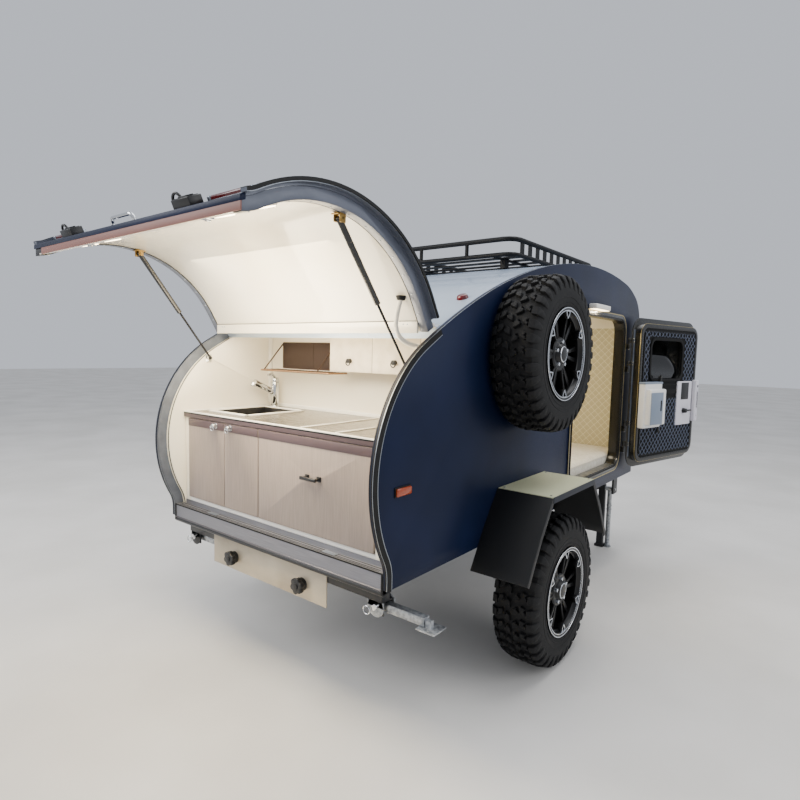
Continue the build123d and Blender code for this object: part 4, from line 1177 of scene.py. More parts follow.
# Hinge side of the hatch: a cream laminated board closes the liner's lower end, with a thin dark seam
# along its upper edge. It is held by small screws in pairs.
board = block((-0.657, 0.657), (-0.8265, -0.8150), (1.5790, 1.6240), 0.0015)
settle(board, "hatch_hinge_board", "hatch", "lining", gloss_liner)
seam = block((-0.657, 0.657), (-0.8268, -0.8160), (1.6240, 1.6262), 0.0003, 1)
settle(seam, "hatch_board_seam", "hatch", "frame_black", rubber_seal)
screws = []
for x in (-0.610, -0.590, 0.590, 0.610):
    screws.append(bar((x, -0.8260, 1.613), (x, -0.8280, 1.613), 0.0030, 12, bevel=0.0003))
settle(together(screws), "hatch_board_screws", "hatch", "chrome", silver)

# Gas struts: a black tube under the hatch on a yellow zinc bracket, and a dark nitrided rod down to the wall,
# where its eye stands on a chrome plate with two screws.
strut_paint, shader = finish("black_enamelled_strut_tube", "#101011", 0.25, coat=0.3)
roughen(strut_paint, shader, 0.01, 0.00003, low=0.2, high=0.3)
rod_steel, shader = finish("dark_nitrided_rod", "#2a2a2c", 0.22, 0.9)
roughen(rod_steel, shader, 0.01, 0.00002, low=0.18, high=0.28)
strut_top = (-1.245, 1.930)
for side_name, side in both_sides:
    dress(f"strut_tube_{side_name}", (strut_paint,), bevel=0.0012)
    dress(f"strut_rod_{side_name}", (rod_steel,))
    x = side * 0.645
    bracket = [
        block((x - 0.016, x + 0.016), (-1.268, -1.222), (1.9405, 1.9445), 0.0015),
        bar((x - 0.018, *strut_top), (x + 0.018, *strut_top), 0.0045, 16),
    ]
    for way in (-1, 1):
        bracket.append(block((x + way * 0.013, x + way * 0.016), (-1.256, -1.234), (1.920, 1.942), 0.001))
    settle(together(bracket), f"strut_bracket_{side_name}", "hatch", "chrome", brass)
    plate = [block((side * 0.6705, side * 0.6665), (-0.887, -0.855), (1.428, 1.468), 0.0015)]
    for z in (1.436, 1.460):
        plate.append(bar((side * 0.667, -0.871, z), (side * 0.6645, -0.871, z), 0.005, 16))
    settle(together(plate), f"strut_plate_{side_name}", "root", "chrome", chrome)

# Conduit: white corrugated tube with the lamp leads, out of a dark grommet in the hatch and into the wall.
# It is drawn as one smooth tube blended across the hinge.
conduit_white, shader = finish("white_corrugated_conduit", "#e6e2d8", 0.45)
roughen(conduit_white, shader, 0.003, 0.0001)
conduit_points = [
    (0.620, -0.882, 1.706),
    (0.620, -0.915, 1.630),
    (0.620, -0.900, 1.568),
    (0.621, -0.845, 1.540),
    (0.628, -0.795, 1.529),
    (0.645, -0.765, 1.528),
    (0.667, -0.757, 1.528),
]
route = smooth_line(conduit_points, 40)
path = [corner.co.copy() for corner in bpy.data.meshes.new_from_object(route).vertices]
bpy.data.objects.remove(route)


def tube_along(stops, radii):
    """A round closed tube through close stops, each with its own radius."""
    sides = 14
    corners, faces = [], []
    side_way = Vector((1, 0, 0))
    for k, stop in enumerate(stops):
        way = (stops[min(k + 1, len(stops) - 1)] - stops[max(k - 1, 0)]).normalized()
        side_way = (side_way - side_way.dot(way) * way).normalized()
        other = way.cross(side_way)
        for n in range(sides):
            turn = 2 * pi * n / sides
            corners.append(stop + radii[k] * (cos(turn) * side_way + sin(turn) * other))
        if k:
            base = (k - 1) * sides
            for n in range(sides):
                after = (n + 1) % sides
                faces.append((base + n, base + after, base + sides + after, base + sides + n))
    faces.append(tuple(range(sides))[::-1])
    faces.append(tuple(range(len(corners) - sides, len(corners))))
    return new_mesh("tube", corners, faces=faces)


walked = [0.0]
for before, after in zip(path, path[1:]):
    walked.append(walked[-1] + (after - before).length)
corrugation = 0.0045
hose_radius = 0.0088
rib_height = 0.0010
stops, ribs = [], []
fine = round(walked[-1] / corrugation * 4)
for k in range(fine + 1):
    far = walked[-1] * k / fine
    spot = max(n for n in range(len(walked)) if walked[n] <= far + 1e-9)
    spot = min(spot, len(path) - 2)
    share = (far - walked[spot]) / (walked[spot + 1] - walked[spot])
    stops.append(path[spot].lerp(path[spot + 1], share))
    ribs.append(hose_radius + rib_height * cos(2 * pi * far / corrugation))
hose = tube_along(stops, ribs)
hose.name = "conduit_hose"
hose.data.name = "conduit_hose"
hose.data.materials.append(conduit_white)
bpy.ops.object.shade_smooth_by_angle(angle=radians(60))
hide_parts("conduit")
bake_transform(hose)
grommet = bar((0.620, -0.882, 1.718), (0.620, -0.882, 1.700), 0.021, 32, 0.015, 0.003)
settle(grommet, "conduit_grommet_hatch", "hatch", "frame_black", rubber_seal)
grommet = bar((0.671, -0.757, 1.528), (0.660, -0.757, 1.528), 0.0160, 32, 0.0135, 0.002)
settle(grommet, "conduit_grommet_wall", "root", "frame_black", rubber_seal)

# Doors: a flush navy leaf with olive-black edges and a smoked window with round corners. Inside, grey-blue
# elastic nets with diamond meshes cover two pockets on a black trimmed panel, above and below a cross bar.
net_cord, shader = finish("grey_blue_elastic_net", "#5f677a", 0.7)
roughen(net_cord, shader, 0.002, 0.0001)
panel_black, shader = finish("black_textured_door_panel", "#060607", 0.7)
roughen(panel_black, shader, 0.003, 0.0002, low=0.62, high=0.78)
shader.inputs["Specular IOR Level"].default_value = 0.25
smoked_glass, shader = finish("smoked_acrylic_window", "#101214", 0.08)
shader.inputs["Transmission Weight"].default_value = 0.75
shader.inputs["IOR"].default_value = 1.49
roughen(smoked_glass, shader, 0.2, 0.0003)
bin_white, shader = finish("white_abs_bin", "#e8e8e6", 0.3)
roughen(bin_white, shader, 0.003, 0.00004, low=0.26, high=0.38)
bin_lid, shader = finish("grey_blue_bin_lid", "#7d8a9c", 0.36)
roughen(bin_lid, shader, 0.003, 0.00004, low=0.28, high=0.4)
lock_white, shader = finish("lilac_white_lock_housing", "#dcdae2", 0.32)
roughen(lock_white, shader, 0.003, 0.00004, low=0.28, high=0.4)
door_pin = (0.750, 1.531)
door_open = radians(167)
net_pitch = 0.050
net_thick = 0.0022
net_depth = -0.0650


def hang(piece, side, turn, name, slot, material, smooth=35, stands_for=()):
    """Moves a piece made along, out of and up a closed leaf from its pin to where the leaf stands."""
    along = (side * sin(turn), -cos(turn), 0)
    out = (side * cos(turn), sin(turn), 0)
    lay = Matrix((along, out, (0, 0, 1))).transposed().to_4x4()
    pin = Vector((side * door_pin[0], axle_y + door_pin[1], 0))
    piece.matrix_world = Matrix.Translation(pin) @ lay @ Matrix.Translation((0, -axle_y, 0))
    apply_place(piece)
    if side < 0:
        face_outwards(piece)
    door = "door_right" if side > 0 else "door_left"
    return settle(piece, f"{name}_{door[5:]}", door, slot, material, smooth, stands_for)


def panel_ring(along, up, corner, out, wide):
    """A flat frame with round corners on the leaf, given along it, up it and out of it."""
    middle = ((along[0] + along[1]) / 2, (up[0] + up[1]) / 2)
    size = (along[1] - along[0], up[1] - up[0])
    return closed_band([
        [station(x, depth, z) for x, z in round_rectangle(middle, size, corner, inset, 5)]
        for depth, inset in ((out[0], 0), (out[1], 0), (out[1], wide), (out[0], wide))
    ])


def net(along, up):
    """Crossing cords over a rectangle of the leaf, each cut to the rectangle."""
    cords = []
    wide, tall = along[1] - along[0], up[1] - up[0]
    count = int((wide + tall) / net_pitch) + 1
    for way in (1, -1):
        for k in range(1, count):
            reach = k * net_pitch
            low_x = max(0.0, reach - tall)
            high_x = min(wide, reach)
            if high_x - low_x < 0.012:
                continue
            ends = []
            for x in (low_x, high_x):
                z = up[0] + (reach - x) if way > 0 else up[1] - (reach - x)
                ends.append((along[0] + x, net_depth, z))
            cords.append(bar(*ends, net_thick, 6, bevel=0))
    return cords


def leaf_finish(side, turn):
    """Picks the leaf's finish by face: navy skin outside, olive-black edges, black panel inside."""
    out = Vector((side * cos(turn), sin(turn), 0))

    def choose(centre, normal):
        facing = normal.dot(out)
        depth = (centre - Vector((side * door_pin[0], axle_y + door_pin[1], 0))).dot(out)
        if facing > 0.8 and -0.020 < depth < -0.008:
            return 0
        return 2 if facing < -0.5 and depth < -0.030 else 1

    return choose


for side_name, side, turn in (("right", 1, door_open), ("left", -1, 0)):
    dress(f"door_leaf_{side_name}", (navy_paint, olive_black, panel_black), leaf_finish(side, turn), 0.0015)
    dress(f"door_window_{side_name}", (smoked_glass,))
    border = panel_ring((0.0465, 0.9005), (0.7605, 1.7425), 0.080, (-0.0595, -0.0640), 0.030)
    soften(border, 0.0015)
    hang(border, side, turn, "door_border", "door_black", olive_black)
    # A painted highlight runs round the leaf's edge as a thin gold ring.
    line = panel_ring((0.0440, 0.9030), (0.7580, 1.7450), 0.0825, (-0.0560, -0.0590), 0.0035)
    hang(line, side, turn, "door_painted_highlight_edge", "door_black", painted_highlight_line)
    frames = [
        panel_ring((0.085, 0.862), (1.300, 1.700), 0.055, (-0.0600, -0.0665), 0.014),
        panel_ring((0.085, 0.862), (0.800, 1.215), 0.055, (-0.0600, -0.0665), 0.014),
        block((0.080, 0.867), (-0.0600, -0.0665), (1.240, 1.275), 0.002),
    ]
    hang(together(frames), side, turn, "door_pocket_frames", "door_black", panel_black)
    glazing = panel_ring((0.170, 0.670), (1.331, 1.651), 0.075, (-0.0600, -0.0705), 0.022)
    soften(glazing, 0.003)
    hang(glazing, side, turn, "door_window_frame_inner", "door_black", panel_black)
    glazing = panel_ring((0.172, 0.668), (1.333, 1.649), 0.074, (-0.0095, -0.0065), 0.018)
    soften(glazing, 0.001)
    hang(glazing, side, turn, "door_window_frame_outer", "door_black", olive_black)
    cords = net((0.092, 0.855), (0.807, 1.208))
    cords += net((0.690, 0.855), (1.307, 1.693))
    cords += net((0.092, 0.162), (1.340, 1.693))
    cords += net((0.162, 0.690), (1.656, 1.693))
    hang(together(cords), side, turn, "door_nets", "door_black", net_cord, 30)
    strip = block((0.022, 0.040), (-0.0188, -0.0200), (0.80, 1.70), 0.0004)
    hang(strip, side, turn, "door_hinge_strip", "door_black", brushed)
    bolt_heads = [
        bar((0.018, -0.0225, height), (0.018, -0.0285, height), 0.0055, 6, bevel=0.0005)
        for z in hinge_heights
        for height in (z + 0.010, z + 0.028)
    ]
    hang(together(bolt_heads), side, turn, "door_hinge_bolt_heads", "chrome", chrome)
    grip = [
        block((0.800, 0.856), (-0.0125, -0.0020), (1.150, 1.290), 0.006, 3),
        block((0.808, 0.848), (-0.0030, 0.0060), (1.175, 1.245), 0.004, 3),
        bar((0.828, -0.003, 1.268), (0.828, 0.003, 1.268), 0.009, 20),
    ]
    hang(together(grip), side, turn, "door_paddle_handle", "frame_black", handle_black)

# Fittings inside the right door: a two-step white bin with a grey-blue lid and a dark slot, an upright black
# bar beside it, and a white lock housing with a black lever, a green-black knob and a yellow zinc pin.
door_bin_parts = [
    block((0.050, 0.290), (-0.0605, -0.112), (1.008, 1.330), 0.012, 4),
    block((0.062, 0.278), (-0.100, -0.150), (1.030, 1.285), 0.012, 4),
]
hang(together(door_bin_parts), 1, door_open, "bin_body", "bin_white", bin_white, 35, ("door_bin",))
lid = [
    block((0.066, 0.232), (-0.1485, -0.1525), (1.036, 1.262), 0.0015),
    block((0.046, 0.294), (-0.062, -0.1135), (1.318, 1.334), 0.005, 3),
]
hang(together(lid), 1, door_open, "bin_lid", "bin_white", bin_lid)
bin_slot = block((0.196, 0.214), (-0.1520, -0.1532), (1.130, 1.205), 0.0004)
hang(bin_slot, 1, door_open, "bin_slot", "frame_black", rubber_seal)
upright_bar = [bar((0.320, -0.080, 0.960), (0.320, -0.080, 1.380), 0.008, 20)]
upright_bar += [bar((0.320, -0.062, z), (0.320, -0.082, z), 0.006, 16) for z in (0.975, 1.365)]
hang(together(upright_bar), 1, door_open, "door_grey_bar", "bin_white", chassis_paint)
housing = [
    block((0.600, 0.830), (-0.0600, -0.0750), (0.995, 1.330), 0.006, 3),
    block((0.845, 0.893), (-0.0600, -0.1020), (1.015, 1.340), 0.012, 4),
]
hang(together(housing), 1, door_open, "lock_housing", "lock_white", lock_white, 35, ("door_lock",))
lever = [
    block((0.856, 0.882), (-0.0985, -0.1020), (1.120, 1.250), 0.0016),
    block((0.655, 0.775), (-0.0745, -0.0765), (1.190, 1.320), 0.0009),
    bar((0.700, -0.0750, 1.105), (0.700, -0.1050, 1.105), 0.020, 24, 0.016, 0.003),
    block((0.690, 0.790), (-0.0880, -0.1000), (1.098, 1.112), 0.003),
]
hang(together(lever), 1, door_open, "lock_recess", "frame_black", chassis_paint)
green_knob, shader = finish("green_black_knob", "#18241d", 0.35)
roughen(green_knob, shader, 0.003, 0.00005)
knob = bar((0.869, -0.0985, 1.290), (0.869, -0.1020, 1.290), 0.011, 24, bevel=0.001)
hang(knob, 1, door_open, "lock_knob", "frame_black", green_knob)
lock_pin = bar((0.869, -0.0990, 1.060), (0.869, -0.1020, 1.060), 0.006, 20, bevel=0.0006)
hang(lock_pin, 1, door_open, "lock_pin", "chrome", brass)

# Tyres: black all-terrain rubber with a rounded carcass. Slanted zigzag blocks run round the tread and heavy
# shoulder lugs reach down its sides. One pitch of blocks is modelled and turned round the tyre.
tread_rubber, shader = finish("black_tyre_rubber", "#070708", 0.74)
mottle(tread_rubber, shader, ("#080809", "#101011"), 0.03)
shader.inputs["Specular IOR Level"].default_value = 0.35
roughen(tread_rubber, shader, 0.003, 0.00015, low=0.64, high=0.82)
tyre_radius = 0.3675
tread_radius = 0.3672
tread_taper = 0.0018
pitch_count = 36


def spin_profile(pairs, steps=96):
    """A closed ring about X from its profile, in across and radius pairs."""
    count = len(pairs)
    ring = new_mesh("ring", [(x, 0, r) for x, r in pairs], [(k, (k + 1) % count) for k in range(count)])
    bpy.ops.object.mode_set(mode="EDIT")
    bpy.ops.mesh.select_all(action="SELECT")
    bpy.ops.mesh.spin(steps=steps, angle=2 * pi, center=(0, 0, 0), axis=(1, 0, 0))
    bpy.ops.mesh.select_all(action="SELECT")
    bpy.ops.mesh.remove_doubles(threshold=0.00005)
    bpy.ops.mesh.normals_make_consistent(inside=False)
    bpy.ops.object.mode_set(mode="OBJECT")
    return ring


def tread_block(corners, root_radius):
    """A block of the tread from its plan, in across and round-the-tyre pairs, tapered up to the tread."""
    middle_x = sum(x for x, run in corners) / len(corners)
    middle_run = sum(run for x, run in corners) / len(corners)
    loops = []
    for radius, pull in ((root_radius, 0.0), (tread_radius, tread_taper)):
        loop = []
        for x, run in corners:
            way = Vector((middle_x - x, middle_run - run))
            way = way * (pull / way.length)
            turn = (run + way.y) / tyre_radius
            drop = 0.012 * max(0, abs(x) - 0.060) / 0.040
            loop.append((x + way.x, (radius - drop) * sin(turn), (radius - drop) * cos(turn)))
        loops.append(loop)
    return prism("tread_block", *loops)


def shoulder_lug(side, start):
    """A lug that wraps from the tread's edge down the side of the tyre, start along the tread."""
    rows = [  # half length along the tyre, across and radius at the root, across and radius at the top
        (0.0185, (0.072, 0.345), (0.072, 0.3640)),
        (0.0195, (0.094, 0.338), (0.096, 0.3560)),
        (0.0170, (0.103, 0.322), (0.1075, 0.3330)),
        (0.0120, (0.106, 0.300), (0.1100, 0.3010)),
    ]
    points = []
    for half, root, top in rows:
        for x, radius in (root, top):
            for way in (-1, 1):
                turn = (start + way * half) / tyre_radius
                points.append((side * x, radius * sin(turn), radius * cos(turn)))
    faces = [(0, 1, 3, 2), (12, 14, 15, 13)]
    for a in (0, 4, 8):
        faces += [(a, a + 4, a + 5, a + 1), (a + 2, a + 3, a + 7, a + 6)]
        faces += [(a, a + 2, a + 6, a + 4), (a + 1, a + 5, a + 7, a + 3)]
    return face_outwards(new_mesh("lug", points, faces=faces))


def all_terrain_tyre():
    """One tyre about the origin, its axle along X."""
    outer = [
        (0.000, 0.3515), (0.070, 0.3500), (0.094, 0.3400), (0.1040, 0.3220), (0.1080, 0.3000),
        (0.1098, 0.2750), (0.1085, 0.2500), (0.1060, 0.2300), (0.1030, 0.2190), (0.0970, 0.2165),
    ]
    inner = [(0.0900, 0.2300), (0.0700, 0.3200), (0.0, 0.3280)]
    far_outer = [(-x, r) for x, r in reversed(outer[1:])]
    far_inner = [(-x, r) for x, r in reversed(inner[:-1])]
    carcass = spin_profile(far_outer + outer + inner + far_inner)
    block_rows = [  # radius at the root, and the plan as across and round-the-tyre pairs
        (0.3490, [
            (0.004, -0.020), (0.034, -0.006), (0.036, 0.006), (0.022, 0.014), (0.026, 0.024),
            (0.006, 0.010)]),
        (0.3480, [
            (0.042, 0.006), (0.066, -0.008), (0.070, 0.004), (0.060, 0.012), (0.068, 0.026), (0.044, 0.034),
            (0.038, 0.020)]),
    ]
    pitch = 2 * pi * tyre_radius / pitch_count
    blocks = []
    for side, shift in ((1, 0.0), (-1, 0.5 * pitch)):
        for root_radius, plan in block_rows:
            blocks.append(tread_block([(side * x, shift + run) for x, run in plan], root_radius))
        blocks.append(shoulder_lug(side, shift + 0.002))
    pitch_piece = together(blocks)
    soften(pitch_piece, 0.0016, 1, 30)
    bpy.ops.object.mode_set(mode="EDIT")
    bpy.ops.mesh.select_all(action="SELECT")
    bpy.ops.mesh.spin(
        steps=pitch_count - 1,
        angle=2 * pi * (pitch_count - 1) / pitch_count,
        center=(0, 0, 0),
        axis=(1, 0, 0),
        dupli=True,
    )
    bpy.ops.object.mode_set(mode="OBJECT")
    side_rings = []
    for side in (1, -1):
        for radius, reach in ((0.2620, 0.1095), (0.2380, 0.1076)):
            foot, top = side * (reach - 0.003), side * (reach + 0.0010)
            side_rings.append(spin_profile([
                (foot, radius - 0.0035), (top, radius - 0.0015),
                (top, radius + 0.0015), (foot, radius + 0.0035)]))
    return together([carcass, pitch_piece] + side_rings)


# Rims: satin black cast aluminium with a double machined ring, six hollow wedges pointing in, and six split
# spokes between them. A blank cap sits in the hub among five bright nuts, and the road wheels have a drum.
rim_black, shader = finish("satin_black_cast_aluminium", "#060607", 0.36, 0.1, 0.1)
roughen(rim_black, shader, 0.004, 0.00005, low=0.3, high=0.44)
shader.inputs["Specular IOR Level"].default_value = 0.4
machined, shader = finish("machined_aluminium_face", "#e2e6ec", 0.24, 0.9)
roughen(machined, shader, 0.0015, 0.00002, low=0.14, high=0.26)
drum_iron, shader = finish("cast_iron_drum", "#3a3a3b", 0.6, 0.6)
mottle(drum_iron, shader, ("#303031", "#484847"), 0.01)
roughen(drum_iron, shader, 0.004, 0.0001)
face_x = 0.0735


def plan_plate(corners, low, high):
    """A flat plate from its outline, seen along the axle as pairs of across and up, between two x."""
    return prism("plate", [(low, y, z) for y, z in corners], [(high, y, z) for y, z in corners])


def frame_plate(outer, inner, low, high):
    """A plate with a hole of as many corners as its outline."""
    edges = ((low, outer), (low, inner), (high, inner), (high, outer))
    return closed_band([[(x, y, z) for y, z in pairs] for x, pairs in edges])


def polar(middle_turn, pairs):
    """Places on the wheel's face, each given by its radius and its degrees from a middle turn."""
    places = []
    for radius, off in pairs:
        turn = radians(middle_turn + off)
        places.append((radius * sin(turn), radius * cos(turn)))
    return places


def cast_rim(drum):
    """The parts of one rim about the origin with its face towards +X: cast body, bright faces and drum."""
    barrel = spin_profile([
        (-0.109, 0.196), (-0.109, 0.216), (-0.104, 0.2165), (-0.100, 0.2050), (-0.060, 0.196), (0.060, 0.196),
        (0.100, 0.2050), (0.104, 0.2165), (0.109, 0.216), (0.109, 0.205), (0.104, 0.199), (0.094, 0.196),
        (0.086, 0.190), (0.060, 0.188), (-0.060, 0.188)])
    flange = spin_profile([
        (0.066, 0.186), (0.066, 0.198), (0.0965, 0.2035),
        (0.0990, 0.2010), (0.0905, 0.1975), (0.0850, 0.186)])
    bodies = [barrel, flange]
    bright = [spin_profile([(0.1085, 0.2105), (0.1085, 0.2155), (0.1098, 0.2150), (0.1098, 0.2110)])]
    bright.append(spin_profile([(0.1040, 0.1982), (0.1040, 0.2025), (0.1078, 0.2022), (0.1078, 0.1985)]))
    for wedge_turn in range(0, 360, 60):
        outer = polar(wedge_turn, [
            (0.2000, -6.5), (0.2000, 0), (0.2000, 6.5), (0.184, 5.4), (0.162, 0), (0.184, -5.4)])
        inner = polar(wedge_turn, [
            (0.1965, -4.6), (0.1965, 0), (0.1965, 4.6), (0.185, 3.8), (0.169, 0), (0.185, -3.8)])
        bright.append(frame_plate(outer, inner, 0.1010, 0.1050))
        bodies.append(frame_plate(outer, inner, 0.070, 0.1010))
        bodies.append(plan_plate(inner, 0.068, 0.0930))
        spoke_turn = wedge_turn + 30
        for lean in (-1, 1):
            arm = [(0.066, 12), (0.192, 12.5), (0.192, 5.0), (0.135, 4.0), (0.074, 2.0)]
            arm = polar(spoke_turn, [(radius, lean * off) for radius, off in arm])
            bodies.append(plan_plate(arm, 0.045, face_x))
            edge = [(0.078, 11.3), (0.186, 12.2), (0.186, 11.3), (0.079, 9.6)]
            edge = polar(spoke_turn, [(radius, lean * off) for radius, off in edge])
            bodies.append(plan_plate(edge, face_x - 0.0005, face_x + 0.0016))
        web = polar(spoke_turn, [(0.070, -10), (0.112, -6), (0.112, 6), (0.070, 10)])
        bodies.append(plan_plate(web, 0.045, face_x - 0.004))
    for piece in bodies[2:]:
        soften(piece, 0.0022, 2, 30)
    bodies.append(spin_profile([
        (0.035, 0.0), (0.035, 0.078), (0.070, 0.080), (0.0755, 0.074), (0.0765, 0.052), (0.086, 0.046),
        (0.092, 0.040), (0.092, 0.0)], 64))
    bright.append(spin_profile([
        (0.0905, 0.0325), (0.0935, 0.0330), (0.0940, 0.0350), (0.0925, 0.0375), (0.0905, 0.0375)], 48))
    bodies.append(spin_profile([
        (0.0910, 0.0), (0.0910, 0.0325), (0.0928, 0.0318), (0.0945, 0.020), (0.0950, 0.0)], 48))
    for y, z in polar(0, [(0.057, 72 * k) for k in range(5)]):
        bpy.ops.object.select_all(action="DESELECT")
        bpy.ops.mesh.primitive_cone_add(
            vertices=6,
            radius1=0.0105,
            radius2=0.0090,
            depth=0.018,
            location=(0.0790, y, z),
            rotation=(0, pi / 2, 0),
        )
        bright.append(bpy.context.object)
        soften(bright[-1], 0.001)
    rear = []
    if drum:
        rear.append(spin_profile([
            (-0.105, 0.021), (-0.105, 0.120), (-0.040, 0.120), (-0.036, 0.112),
            (-0.036, 0.060), (0.036, 0.060), (0.036, 0.021)], 64))
    return together(bodies), together(bright), rear


spare_place = (0.839, -0.053, 1.512)
wheel_rows = [  # name, body, centre, face side, drum behind, tyre node, rim node
    ("road_right", "wheel_right", (0.865, 0.012, tyre_radius), 1, True, "tyre_right", "rim_right"),
    ("road_left", "wheel_left", (-0.865, 0.012, tyre_radius), -1, True, "tyre_left", "rim_left"),
    ("spare", "root", spare_place, 1, False, "spare_tyre", "spare_rim"),
]


def mount_wheel(piece, side, centre, name, body, slot, material, stands_for=()):
    """Moves a wheel piece made about the origin to its place, its face outwards."""
    piece.matrix_world = Matrix.Translation(station(*centre)) @ Matrix.Rotation(0 if side > 0 else pi, 4, "Z")
    return settle(piece, name, body, slot, material, 32, stands_for)


for name, body, centre, side, drum, tyre_node, rim_node in wheel_rows:
    mount_wheel(all_terrain_tyre(), side, centre, f"{name}_tyre", body, "rubber", tread_rubber, (tyre_node,))
    bodies, bright, rear = cast_rim(drum)
    mount_wheel(bodies, side, centre, f"{name}_rim", body, "alloy_black", rim_black, (rim_node,))
    mount_wheel(bright, side, centre, f"{name}_rim_faces", body, "alloy_black", machined)
    for piece in rear:
        mount_wheel(piece, side, centre, f"{name}_drum", body, "galvanised", drum_iron)

# Fenders: folded black sheet over each road wheel, its flat top covered with a gritty step plate whose
# pale cream is partly its own light colour and partly painted light from the porch lamp above. Its outer lip
# is dark and sparkling. Four screws hold each plate.
fender_black, shader = finish("black_textured_fender_sheet", "#0e0f11", 0.5)
roughen(fender_black, shader, 0.002, 0.0002, low=0.42, high=0.6)
# The step top's pale cream is partly the plate's light colour and partly painted light from the porch lamp.
grit_top_and_lamp_light, shader = finish("pale_grit_with_painted_lamp_light", "#c4c6a2", 0.8)
mottle(grit_top_and_lamp_light, shader, ("#b4b692", "#d4d5b4"), 0.003, detail=4.0)
roughen(grit_top_and_lamp_light, shader, 0.003, 0.0006, low=0.7, high=0.9)
grit_lip, shader = finish("dark_grey_grit_lip", "#20232b", 0.75)
mottle(grit_lip, shader, ("#15171d", "#343842"), 0.003, detail=4.0)
roughen(grit_lip, shader, 0.003, 0.0004)
for side_name, side in both_sides:
    dress(f"fender_{side_name}", (fender_black,), bevel=0.002)
    top = block((side * 0.724, side * 0.9935), (-0.248, 0.256), (0.8805, 0.8850), 0.0015)
    settle(top, f"fender_step_{side_name}", "root", "frame_black", grit_top_and_lamp_light)
    lip = block((side * 0.9950, side * 0.9985), (-0.246, 0.254), (0.8570, 0.8845), 0.001)
    settle(lip, f"fender_step_lip_{side_name}", "root", "frame_black", grit_lip)
    screws = [
        bar((side * x, y, 0.8848), (side * x, y, 0.8868), 0.006, 16)
        for x in (0.745, 0.975)
        for y in (-0.225, 0.235)
    ]
    settle(together(screws), f"fender_screws_{side_name}", "root", "chrome", chrome)
dress("spare_carrier", (chassis_paint,), bevel=0.002)
places = [(0.729, spare_place[1] + a, spare_place[2] + b) for a in (-0.082, 0.082) for b in (-0.082, 0.082)]
bolts(places, (1, 0, 0), "spare_carrier_bolts")

# Roof rack: black powder-coated tube and flat bar. Clamps with bolts hold it to bars on the roof.
rack_black, shader = finish("black_rack_powder_coat", "#08090c", 0.5)
shader.inputs["Specular IOR Level"].default_value = 0.25
roughen(rack_black, shader, 0.002, 0.00006, low=0.44, high=0.58)
dress("roof_rack", (rack_black,), smooth=40)
clamps = []
for x in (-0.350, 0.350):
    for y in (0.420, 0.900, 1.380):
        top = roof_inside(y, 0.004)
        clamps.append(block((x - 0.028, x + 0.028), (y - 0.036, y + 0.036), (top - 0.001, top + 0.006)))
        for bolt in (x - 0.022, x + 0.022):
            clamps.append(bar((bolt, y, top + 0.005), (bolt, y, top + 0.011), 0.006, 6))
settle(together(clamps), "rack_feet", "root", "frame_black", rack_black)

# Steady legs: galvanised square tube with a bolted foot. The rear ones lie level in swivel brackets with
# round cheeks and a bright plunger pin. The front ones stand on the road beside a round screw leg.
for node in ("front_leg_right", "front_leg_left"):
    dress(node, (zinc, chassis_paint), lambda c, n: 1 if abs(c.x) < 0.536 else 0, 0.0012)
for node in ("rear_leg_right", "rear_leg_left"):
    dress(node, (zinc,), bevel=0.0015)
leg_pin_z = 0.535
cheek_half = 0.0025
for side_name, x, material in (("right", 0.620, zinc), ("left", -0.600, chassis_paint)):
    cheeks = []
    for y in (-0.9925, -0.9275):
        rear, front = y - cheek_half, y + cheek_half
        cheeks.append(bar((x, rear, leg_pin_z), (x, front, leg_pin_z), 0.040, 40, bevel=0.001))
        cheeks.append(block((x - 0.040, x + 0.040), (rear, front), (leg_pin_z, 0.5595), 0.001))
    settle(together(cheeks), f"rear_leg_cheeks_{side_name}", "root", "galvanised", material)
    pins = [
        bar((x, -1.0010, leg_pin_z), (x, -0.9190, leg_pin_z), 0.0075, 20),
        bar((x, -1.0080, leg_pin_z), (x, -0.9960, leg_pin_z), 0.0120, 6),
        bar((x + 0.022, -1.0220, 0.552), (x + 0.022, -0.9900, 0.552), 0.0050, 20),
        bar((x + 0.022, -1.0260, 0.552), (x + 0.022, -1.0180, 0.552), 0.0095, 24),
    ]
    settle(together(pins), f"rear_leg_pins_{side_name}", "root", "chrome", chrome)
    ring = ring_pull(x - 0.030, -1.012, 0.520, 0.016, 0.0022)
    settle(ring, f"rear_leg_ring_{side_name}", "root", "chrome", chrome)
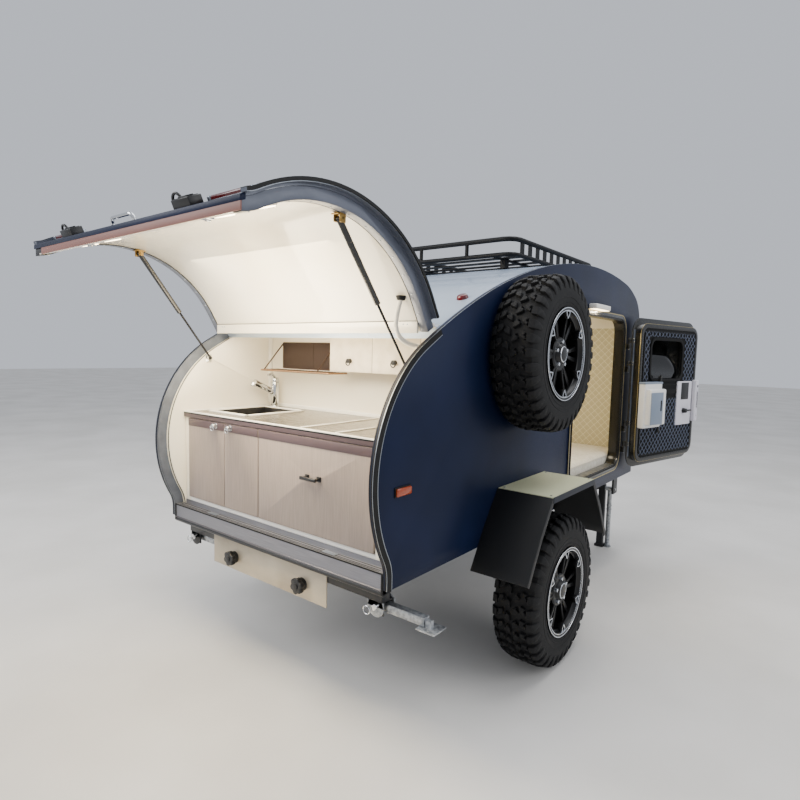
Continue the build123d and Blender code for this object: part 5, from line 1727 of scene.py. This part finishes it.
for side_name, side in both_sides:
    body = f"front_leg_{side_name}"
    x, y = side * 0.555, 1.910
    bits = [bar((x, y, z), (x, y, z + 0.008), 0.0205, 24) for z in (0.300, 0.330)]
    bits.append(bar((x, y, 0.006), (x, y, 0.030), 0.024, 24, 0.018))
    for k in range(6):
        turn = radians(60 * k)
        bits.append(bar((x, y, 0.009), (x + 0.030 * cos(turn), y + 0.024 * sin(turn), 0.007), 0.0055, 10))
    settle(together(bits), f"front_leg_screw_{side_name}", body, "galvanised", zinc)
    pin = bar((side * 0.4385, 1.900, 0.470), (side * 0.6020, 1.900, 0.470), 0.007, 20)
    settle(pin, f"front_leg_pin_{side_name}", "root", "chrome", chrome)

# Jockey wheel: a galvanised leg in a clamped sleeve with a crank handle on top, and a small rubber-tyred
# wheel on a dark hub.
dress("jockey_sleeve", (zinc, handle_black), lambda c, n: 1 if c.x > 0.075 else 0, 0.001)
dress("jockey_leg", (zinc,), bevel=0.0012)
clamp = [
    block((-0.045, 0.045), (2.583, 2.657), (0.562, 0.585), 0.004),
    bar((0.040, 2.620, 0.5735), (0.100, 2.620, 0.5735), 0.005, 16),
    bar((0.085, 2.585, 0.5735), (0.085, 2.655, 0.5735), 0.006, 16),
]
settle(together(clamp), "jockey_clamp", "root", "galvanised", zinc)
jockey_middle = Matrix.Translation(station(0, 2.620, 0.100))
tyre_half = [(0.008, 0.100), (0.022, 0.095), (0.028, 0.082), (0.028, 0.062)]
tyre = spin_profile([(-x, radius) for x, radius in reversed(tyre_half)] + tyre_half, 64)
tyre.matrix_world = jockey_middle
settle(tyre, "jockey_tyre", "jockey_wheel", "rubber", tread_rubber, 35, ("jockey_wheel",))
hub_half = [(0.020, 0.063), (0.008, 0.050), (0.016, 0.022), (0.026, 0.018), (0.024, 0.0085)]
hub = spin_profile([(-x, radius) for x, radius in reversed(hub_half)] + hub_half, 48)
hub.matrix_world = jockey_middle
settle(hub, "jockey_hub", "jockey_wheel", "rubber", drum_iron)

# Warm lamps of the galley, the hatch's liner and the cabin: soft light for their downlights and ceiling lamp,
# which makes the cream boards glow as they do at dusk.
inner_rows = [  # name, place, aim, width, watts
    ("galley_glow", (0.0, -1.20, 1.860), (0.0, -0.85, 1.10), 0.9, 52),
    ("hatch_glow", (0.0, -1.02, 1.240), (0.0, -1.25, 1.95), 0.7, 20),
    ("cabin_glow", (0.0, 0.75, 1.900), (0.0, 0.95, 0.90), 0.6, 13),
]
for name, place, aim, width, watts in inner_rows:
    soft_lamp(name, station(*place), station(*aim), width, watts).data.color = warm_light
